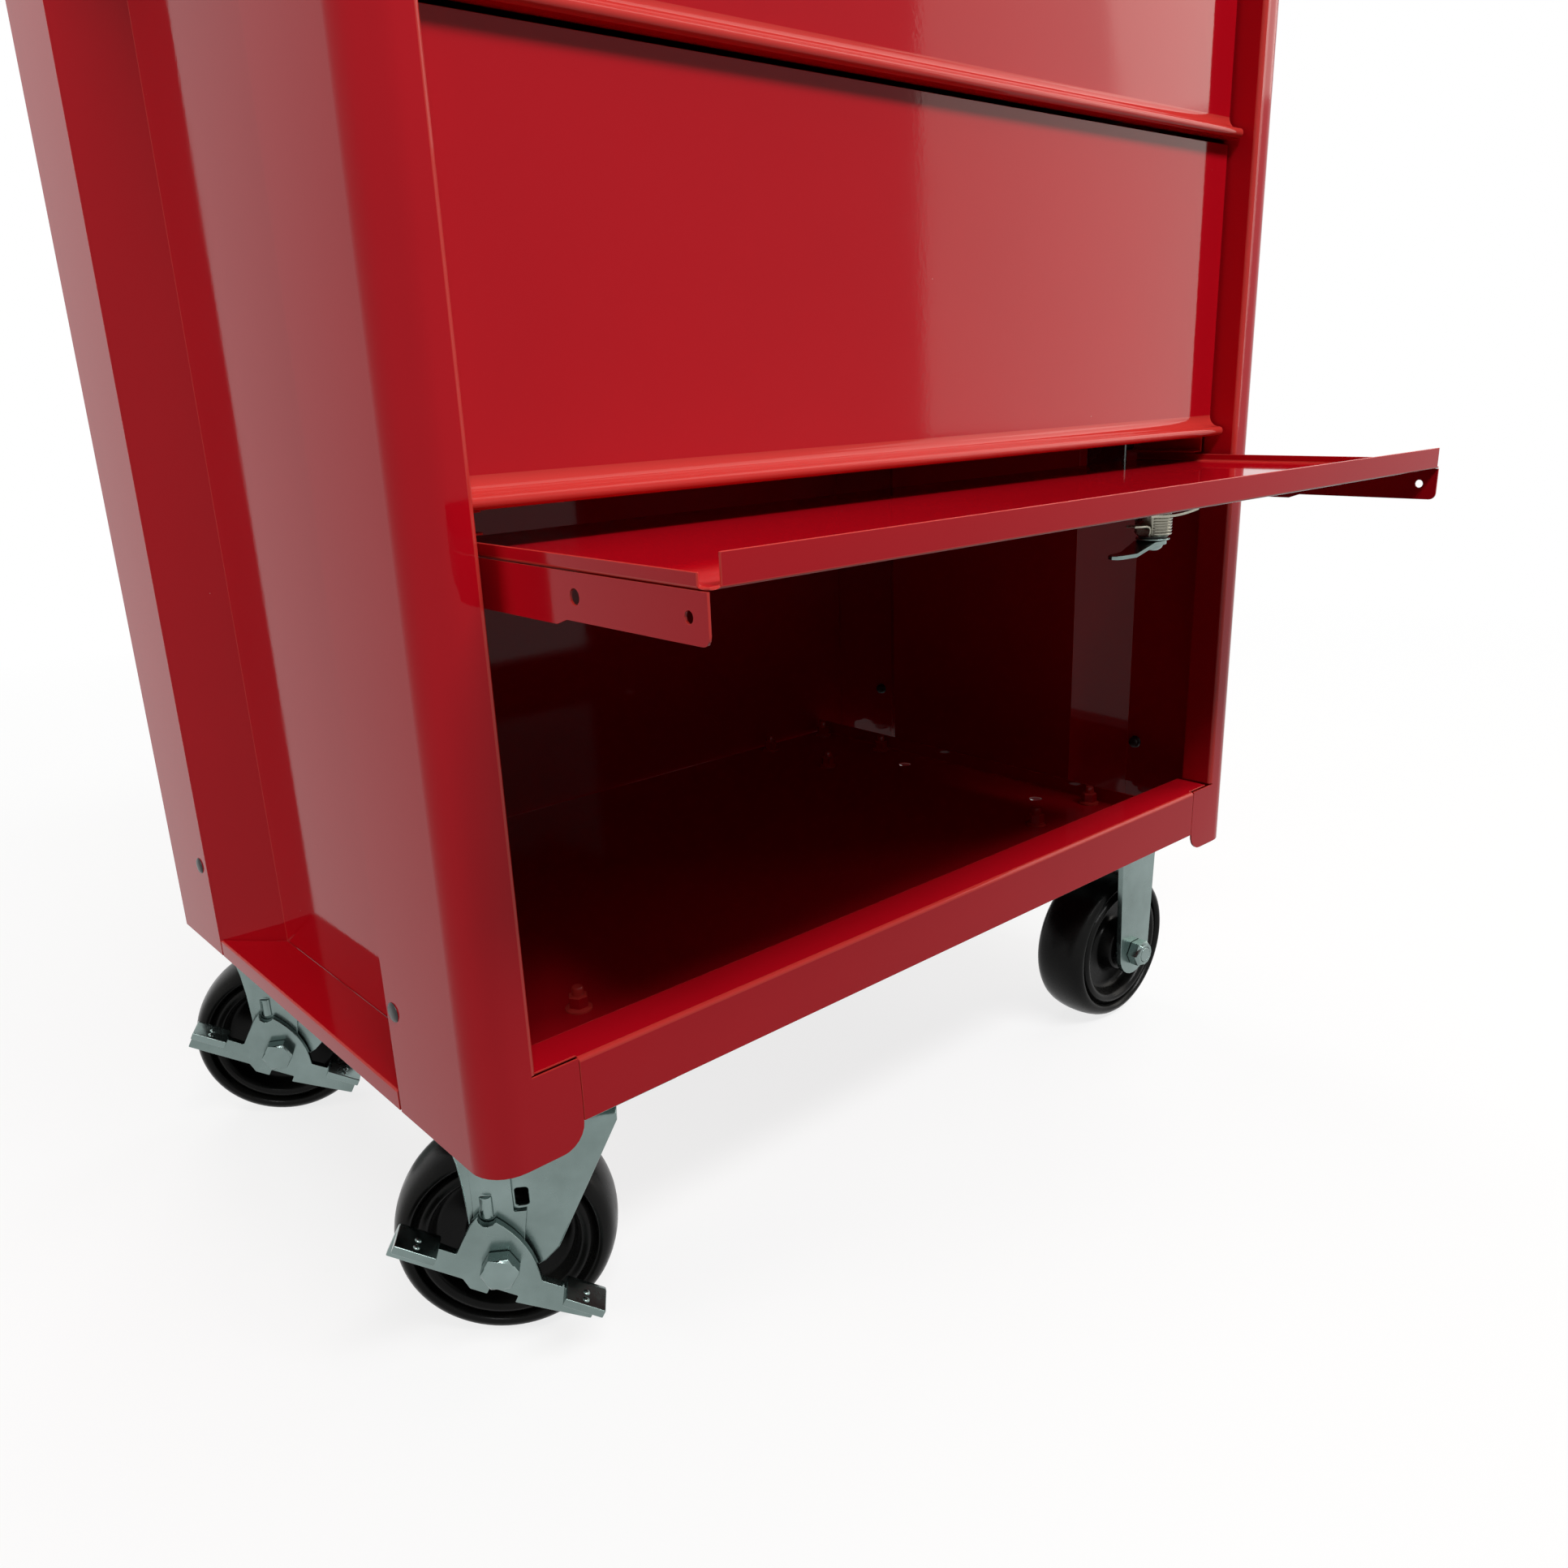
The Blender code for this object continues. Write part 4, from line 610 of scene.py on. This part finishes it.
# %% Lock barrel and washers
BARREL_RADIUS = 0.0088
BARREL_BORE = 0.0064
BARREL_END = -0.0143
BARREL_FLAT = -0.0074
FLAT_START = -0.0012
END_CHAMFER = 0.0008
HEAD_SEAT = 0.0004
HEAD_DOME = ((0.0018, 0.0), (0.0006, 0.0006), (0.0, 0.0017))
BARREL_STEPS = 48
WASHER_STEPS = 40
WASHER_SHARP_ANGLE = math.radians(60)
WASHER_CHAMFER = 0.3
lock_at = Vector(joints["lock_turn"]["pos_m"])
head_radius = (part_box("lock_barrel")[1].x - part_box("lock_barrel")[0].x) / 2
head_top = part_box("lock_barrel")[1].z - lock_at.z
barrel_profile = [(BARREL_BORE, head_top)]
barrel_profile += [(head_radius - inset, head_top - drop) for inset, drop in HEAD_DOME]
barrel_profile += [(head_radius, HEAD_SEAT), (BARREL_RADIUS, HEAD_SEAT), (BARREL_RADIUS, BARREL_END + END_CHAMFER),
                   (BARREL_RADIUS - END_CHAMFER, BARREL_END), (BARREL_BORE, BARREL_END)]
barrel_mesh = turned_mesh("lock_barrel_turned", barrel_profile, BARREL_STEPS, closed=True)


def flatten_side(mesh):
    """Press the -X side of a barrel or its thread to the flat that stops it from turning."""
    for vertex in mesh.vertices:
        if vertex.co.z < FLAT_START:
            vertex.co.x = max(vertex.co.x, BARREL_FLAT)


flatten_side(barrel_mesh)
barrel_mesh.set_sharp_from_angle(angle=SHARP_ANGLE)
barrel_mesh.transform(Matrix.Translation(lock_at))
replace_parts(piece_from(barrel_mesh, "lock_barrel_turned", "door", "nickel_plate"), "lock_barrel")


def washer(name, outer, top, bottom, slot, material):
    """A ring under the barrel with its outer edges broken."""
    edge = (top - bottom) * WASHER_CHAMFER
    profile = ((BARREL_BORE, top), (outer - edge, top), (outer, top - edge), (outer, bottom + edge),
               (outer - edge, bottom), (BARREL_BORE, bottom))
    mesh = turned_mesh(name, profile, WASHER_STEPS, closed=True)
    mesh.set_sharp_from_angle(angle=WASHER_SHARP_ANGLE)
    mesh.transform(Matrix.Translation(lock_at))
    return piece_from(mesh, name, "door", slot, material)


washer("lock_black_ring", 0.0074, -0.0144, -0.0155, "black_wheel", PLUG)
washer("lock_washer", 0.0086, -0.0155, -0.0165, "zinc_plate", ZINC)
print("lock at", [round(value, 4) for value in lock_at], "head radius", round(head_radius, 4))

# %% Thread tree
THREAD_PITCH = 0.0015
THREAD_DEPTH = 0.0007
THREAD_ROOM = 0.0004
HELIX_POINTS = 36
DIAMOND_POINTS = 4
thread_tree, start, end = tree_with("thread_on_barrel", (("Radius", "NodeSocketFloat"), ("Turns", "NodeSocketFloat"),
                                                         ("Length", "NodeSocketFloat"), ("Depth", "NodeSocketFloat"),
                                                         ("Material", "NodeSocketMaterial")))
helix = thread_tree.nodes.new("GeometryNodeCurveSpiral")
helix.inputs["Resolution"].default_value = HELIX_POINTS
for socket, source in (("Rotations", "Turns"), ("Start Radius", "Radius"), ("End Radius", "Radius"),
                       ("Height", "Length")):
    thread_tree.links.new(start.outputs[source], helix.inputs[socket])
diamond = thread_tree.nodes.new("GeometryNodeCurvePrimitiveCircle")
diamond.inputs["Resolution"].default_value = DIAMOND_POINTS
thread_tree.links.new(start.outputs["Depth"], diamond.inputs["Radius"])
swept = thread_tree.nodes.new("GeometryNodeCurveToMesh")
swept.inputs["Fill Caps"].default_value = True
thread_tree.links.new(helix.outputs["Curve"], swept.inputs["Curve"])
thread_tree.links.new(diamond.outputs["Curve"], swept.inputs["Profile Curve"])
end_tree(thread_tree, start, end, swept.outputs["Mesh"])

thread_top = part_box("lock_clip")[0].z - lock_at.z - THREAD_ROOM
thread_low = BARREL_END + END_CHAMFER
thread_length = thread_top - thread_low
thread_mesh = tree_mesh(thread_tree, "lock_thread", bpy.data.meshes.new("thread_base"), {
    "Radius": BARREL_RADIUS, "Turns": thread_length / THREAD_PITCH, "Length": thread_length,
    "Depth": THREAD_DEPTH, "Material": NICKEL})
thread_mesh.transform(Matrix.Translation((0, 0, thread_low)))
flatten_side(thread_mesh)
thread_mesh.transform(Matrix.Translation(lock_at))
piece_from(thread_mesh, "lock_thread", "door", "nickel_plate")
print("thread turns:", round(thread_length / THREAD_PITCH, 1))

# %% [markdown]
# A horseshoe of spring steel clamps the barrel to the door. It is bowed, so that it presses at its middle, and a tab
# of it turns down along the barrel's flat. The bow needs points between the clip's ends, so planes cut the merged
# solid across before its points are lowered; the tab is a strip that follows a short path.

# %% Clip and screw
TAB_PATH = ((-0.0078, -0.0140), (-0.0082, -0.0122), (-0.0084, -0.0104), (-0.0092, -0.0094), (-0.0110, -0.0089),
            (-0.0160, -0.0086), (-0.0205, -0.0083))
TAB_HALF_WIDTHS = (0.0030, 0.0040, 0.0042, 0.0040, 0.0036, 0.0034, 0.0028)
TAB_GAUGE = 0.0014
STRIP_ROUND = 0.3
STRIP_EDGE_ANGLE = math.radians(50)
CLIP_BOW = 0.0016
BOW_STEPS = 4
SCREW_ROOM = 0.0004


def bent_strip(name, path, widths, thickness):
    """A strip that follows (x, z) points; widths gives its half width at each point, thickness is centred."""
    shape = bmesh.new()
    rows = []
    for number, (point, half_width) in enumerate(zip(path, widths)):
        before = Vector(path[max(number - 1, 0)])
        after = Vector(path[min(number + 1, len(path) - 1)])
        along = (after - before).normalized()
        lift = Vector((-along.y, along.x)) * thickness / 2
        rows.append([shape.verts.new((point[0] + sign * lift.x, side * half_width, point[1] + sign * lift.y))
                     for sign, side in ((-1, -1), (-1, 1), (1, 1), (1, -1))])
    for low, high in zip(rows, rows[1:]):
        for k in range(4):
            shape.faces.new((low[k], low[(k + 1) % 4], high[(k + 1) % 4], high[k]))
    shape.faces.new(rows[0])
    shape.faces.new(rows[-1])
    bmesh.ops.recalc_face_normals(shape, faces=shape.faces[:])
    for face in shape.faces:
        face.smooth = True
    made = bevelled_mesh(mesh_of(shape, name + "_flat"), name, name, thickness * STRIP_ROUND, 2,
                         limit_method="ANGLE", angle_limit=STRIP_EDGE_ANGLE)
    made.transform(Matrix.Translation(lock_at))
    return made


tab_mesh = bent_strip("lock_clip_tab", TAB_PATH, TAB_HALF_WIDTHS, TAB_GAUGE)
piece_from(tab_mesh, "lock_clip_tab", "door", "nickel_plate")

clip_shape = merged_copy("lock_clip")
clip_reach = (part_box("lock_clip")[1].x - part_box("lock_clip")[0].x) / 2
for step in range(1 - BOW_STEPS, BOW_STEPS):
    bmesh.ops.bisect_plane(clip_shape, geom=clip_shape.verts[:] + clip_shape.edges[:] + clip_shape.faces[:],
                           plane_co=(lock_at.x + step / BOW_STEPS * clip_reach, 0, 0), plane_no=(1, 0, 0))
for vert in clip_shape.verts:
    vert.co.z -= CLIP_BOW * (1 - ((vert.co.x - lock_at.x) / clip_reach) ** 2)
bowed_clip = mesh_of(clip_shape, "lock_clip_bowed")
bowed_clip.set_sharp_from_angle(angle=SHARP_ANGLE)
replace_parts(piece_from(bowed_clip, "lock_clip_bowed", "door", "nickel_plate"), "lock_clip")

domed_screw = stacked_mesh("domed_screw", ((24, ((0, 0), (5.2, 0), (5.2, 0.7), (4.6, 1.9), (3.2, 2.9), (1.6, 3.3),
                                                 (0, 3.4))),))
screw_seat = Vector((lock_at.x, lock_at.y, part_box("lock_plug")[0].z + SCREW_ROOM))
fasteners("lock_screw", domed_screw, [(screw_seat, -UP)], "lock_tongue", "zinc_plate", ZINC)
print("clip reach", round(clip_reach, 4), "bow", CLIP_BOW)

# %% [markdown]
# ## Grip dots on the brake pedals
# The two pedals of a brake lever have raised dots so that a shoe does not slip. Their places follow the lever's
# tilt, so each pair is found by casting rays on the lever's solid from above; the same tree sets the dots.

# %% Pedal dots
DOT_ACROSS = 0.0029
PEDAL_TIP = 0.006
PEDAL_INSET = 0.0075
RAY_HEIGHT = 0.06
LEAST_UPWARD = 0.5
pedal_dot = stacked_mesh("pedal_dot", ((14, ((0, -0.3), (2.1, -0.3), (2.0, 0.1), (1.5, 0.55), (0.7, 0.85),
                                             (0, 0.9))),))


def pedal_places(corner):
    """Dots on both pedals of one lever, as (point, upward normal)."""
    lever = solids[corner + "_caster_brake_lever"].data
    joint = joints[corner + "_brake_rock"]
    axle_at = Vector(joint["pos_m"])
    outward = Vector(joint["axis"]).normalized()
    forward = outward.cross(UP).normalized()
    tree = BVHTree.FromPolygons([v.co for v in lever.vertices], [p.vertices[:] for p in lever.polygons])
    reach = max((v.co - axle_at).dot(outward) for v in lever.vertices)
    places = []
    for end_sign in (-1, 1):
        tips = [v.co for v in lever.vertices if (v.co - axle_at).dot(outward) > reach - PEDAL_TIP
                and (v.co - axle_at).dot(forward) * end_sign > 0]
        middle = sum(tips, Vector()) / len(tips) - outward * PEDAL_INSET
        for across in (-DOT_ACROSS, DOT_ACROSS):
            above = middle + outward * across + UP * RAY_HEIGHT
            point, normal = tree.ray_cast(above, -UP)[:2]
            if point is not None and normal.z > LEAST_UPWARD:
                places.append((point, normal))
    return places


for corner in ("left_front", "left_rear"):
    dots = pedal_places(corner)
    fasteners(corner + "_pedal_dots", pedal_dot, dots, corner + "_brake", "zinc_plate", ZINC)
    print(corner, "pedal dots:", len(dots))

# %% [markdown]
# ## The floor
# The cabinet stands on white, so a wide pale floor catches its shadow and fades to white with distance. It is pale
# only for what the camera sees directly or in gloss: to all other light it is dark, because a white floor would
# fill the compartment with light that a deep steel box does not have.

# %% Floor
FLOOR_RADIUS = 9.0
FLOOR_MIDDLE = 2.0
FLOOR_STEPS = 48
FLOOR_SEEN = (0.8, 0.8, 0.8)
FLOOR_BOUNCE = (0.12, 0.12, 0.12)
FLOOR_ROUGHNESS = 0.9
WHITE_BY_DISTANCE = {"From Min": 0.5, "From Max": 2.4, "To Min": 0.8, "To Max": 1.0}
floor_profile = ((0, 0), (FLOOR_MIDDLE, 0), (FLOOR_RADIUS, 0))
floor_mesh = turned_mesh("stage_floor", floor_profile, FLOOR_STEPS, closed=False)
floor_object = bpy.data.objects.new("stage_floor", floor_mesh)
bpy.context.scene.collection.objects.link(floor_object)
floor_paint = bpy.data.materials.new("pale_floor")
floor_paint.use_nodes = True
floor_nodes = floor_paint.node_tree
matte = floor_nodes.nodes["Principled BSDF"]
matte.inputs["Roughness"].default_value = FLOOR_ROUGHNESS
glow = add_node(floor_nodes, "ShaderNodeEmission", {"Strength": 1.0})
path = floor_nodes.nodes.new("ShaderNodeLightPath")
seen = add_node(floor_nodes, "ShaderNodeMath", operation="MAXIMUM")
floor_nodes.links.new(path.outputs["Is Camera Ray"], seen.inputs[0])
floor_nodes.links.new(path.outputs["Is Glossy Ray"], seen.inputs[1])
floor_tone = mix_color(floor_nodes, seen.outputs["Value"], FLOOR_BOUNCE, FLOOR_SEEN)
floor_nodes.links.new(floor_tone, matte.inputs["Base Color"])
floor_place = floor_nodes.nodes.new("ShaderNodeTexCoord")
reach = add_node(floor_nodes, "ShaderNodeVectorMath", operation="LENGTH")
floor_nodes.links.new(floor_place.outputs["Object"], reach.inputs[0])
fade = add_node(floor_nodes, "ShaderNodeMapRange", WHITE_BY_DISTANCE)
floor_nodes.links.new(reach.outputs["Value"], fade.inputs["Value"])
part_white = add_node(floor_nodes, "ShaderNodeMath", operation="MULTIPLY")
floor_nodes.links.new(seen.outputs["Value"], part_white.inputs[0])
floor_nodes.links.new(fade.outputs["Result"], part_white.inputs[1])
blend = floor_nodes.nodes.new("ShaderNodeMixShader")
floor_nodes.links.new(part_white.outputs["Value"], blend.inputs["Fac"])
floor_nodes.links.new(matte.outputs["BSDF"], blend.inputs[1])
floor_nodes.links.new(glow.outputs["Emission"], blend.inputs[2])
floor_nodes.links.new(blend.outputs["Shader"], floor_nodes.nodes["Material Output"].inputs["Surface"])
floor_mesh.materials.append(floor_paint)
print("floor radius:", FLOOR_RADIUS, "m")

# %% [markdown]
# ## The light
# The world is white to the camera and in gloss and nearly dark as a light, so the lamps shape the cabinet. A softbox
# over the camera lights the front, a wide panel at the right rims the rolled lips, and one at the left lights the
# side. Gloss paint mirrors its surroundings, so a card that shows in reflections alone makes the pale half of the
# drawer front without lighting the compartment, and the two side lamps light without being mirrored. Placing the
# lamps by mirror direction is surer here than raising the paint's own brightness.

# %% World and lamps
WORLD_LIGHT = 0.025
WORLD_SEEN = 1.0
LAMP_AIM = Vector((0, -0.1, 0.45))
world = bpy.data.worlds.new("studio")
bpy.context.scene.world = world
world.use_nodes = True
sky = world.node_tree
sky.nodes.clear()
soft = add_node(sky, "ShaderNodeBackground", {"Color": (1, 1, 1, 1), "Strength": WORLD_LIGHT})
white = add_node(sky, "ShaderNodeBackground", {"Color": (1, 1, 1, 1), "Strength": WORLD_SEEN})
path = sky.nodes.new("ShaderNodeLightPath")
direct = add_node(sky, "ShaderNodeMath", operation="MAXIMUM")
shown = add_node(sky, "ShaderNodeMath", operation="MAXIMUM")
sky.links.new(path.outputs["Is Camera Ray"], direct.inputs[0])
sky.links.new(path.outputs["Is Glossy Ray"], direct.inputs[1])
sky.links.new(direct.outputs["Value"], shown.inputs[0])
sky.links.new(path.outputs["Is Transmission Ray"], shown.inputs[1])
mixed = sky.nodes.new("ShaderNodeMixShader")
out = sky.nodes.new("ShaderNodeOutputWorld")
sky.links.new(shown.outputs["Value"], mixed.inputs["Fac"])
sky.links.new(soft.outputs["Background"], mixed.inputs[1])
sky.links.new(white.outputs["Background"], mixed.inputs[2])
sky.links.new(mixed.outputs["Shader"], out.inputs["Surface"])

WARM = (1.0, 0.95, 0.86)
PLAIN = (1.0, 1.0, 1.0)
LAMPS = (("top_softbox", (-0.3, -2.0, 2.75), (2.2, 0.5), 92.0, PLAIN, "all"),
         ("right_card", (2.6, -2.0, 1.13), (0.85, 1.6), 12.5, WARM, "gloss"),
         ("edge_panel", (1.7, -0.75, 2.0), (1.2, 2.4), 24.0, WARM, "all"),
         ("left_panel", (-2.6, 0.7, 1.3), (1.2, 1.2), 32.0, WARM, "matte"),
         ("back_softbox", (0.6, 2.4, 2.4), (1.8, 1.0), 34.0, PLAIN, "all"),
         ("right_softbox", (2.9, 0.9, 1.7), (1.2, 1.2), 22.0, PLAIN, "matte"))
for name, place, size, power, tint, reaches in LAMPS:
    lamp = bpy.data.lights.new(name, "AREA")
    lamp.shape = "RECTANGLE"
    lamp.size, lamp.size_y = size
    lamp.energy = power
    lamp.color = tint
    holder = bpy.data.objects.new(name, lamp)
    holder.location = place
    holder.rotation_euler = (LAMP_AIM - Vector(place)).to_track_quat("-Z", "Y").to_euler()
    holder.visible_diffuse = reaches != "gloss"
    holder.visible_glossy = reaches != "matte"
    bpy.context.scene.collection.objects.link(holder)
bpy.context.scene.view_settings.view_transform = "Standard"
print("lamps:", [entry[0] for entry in LAMPS])
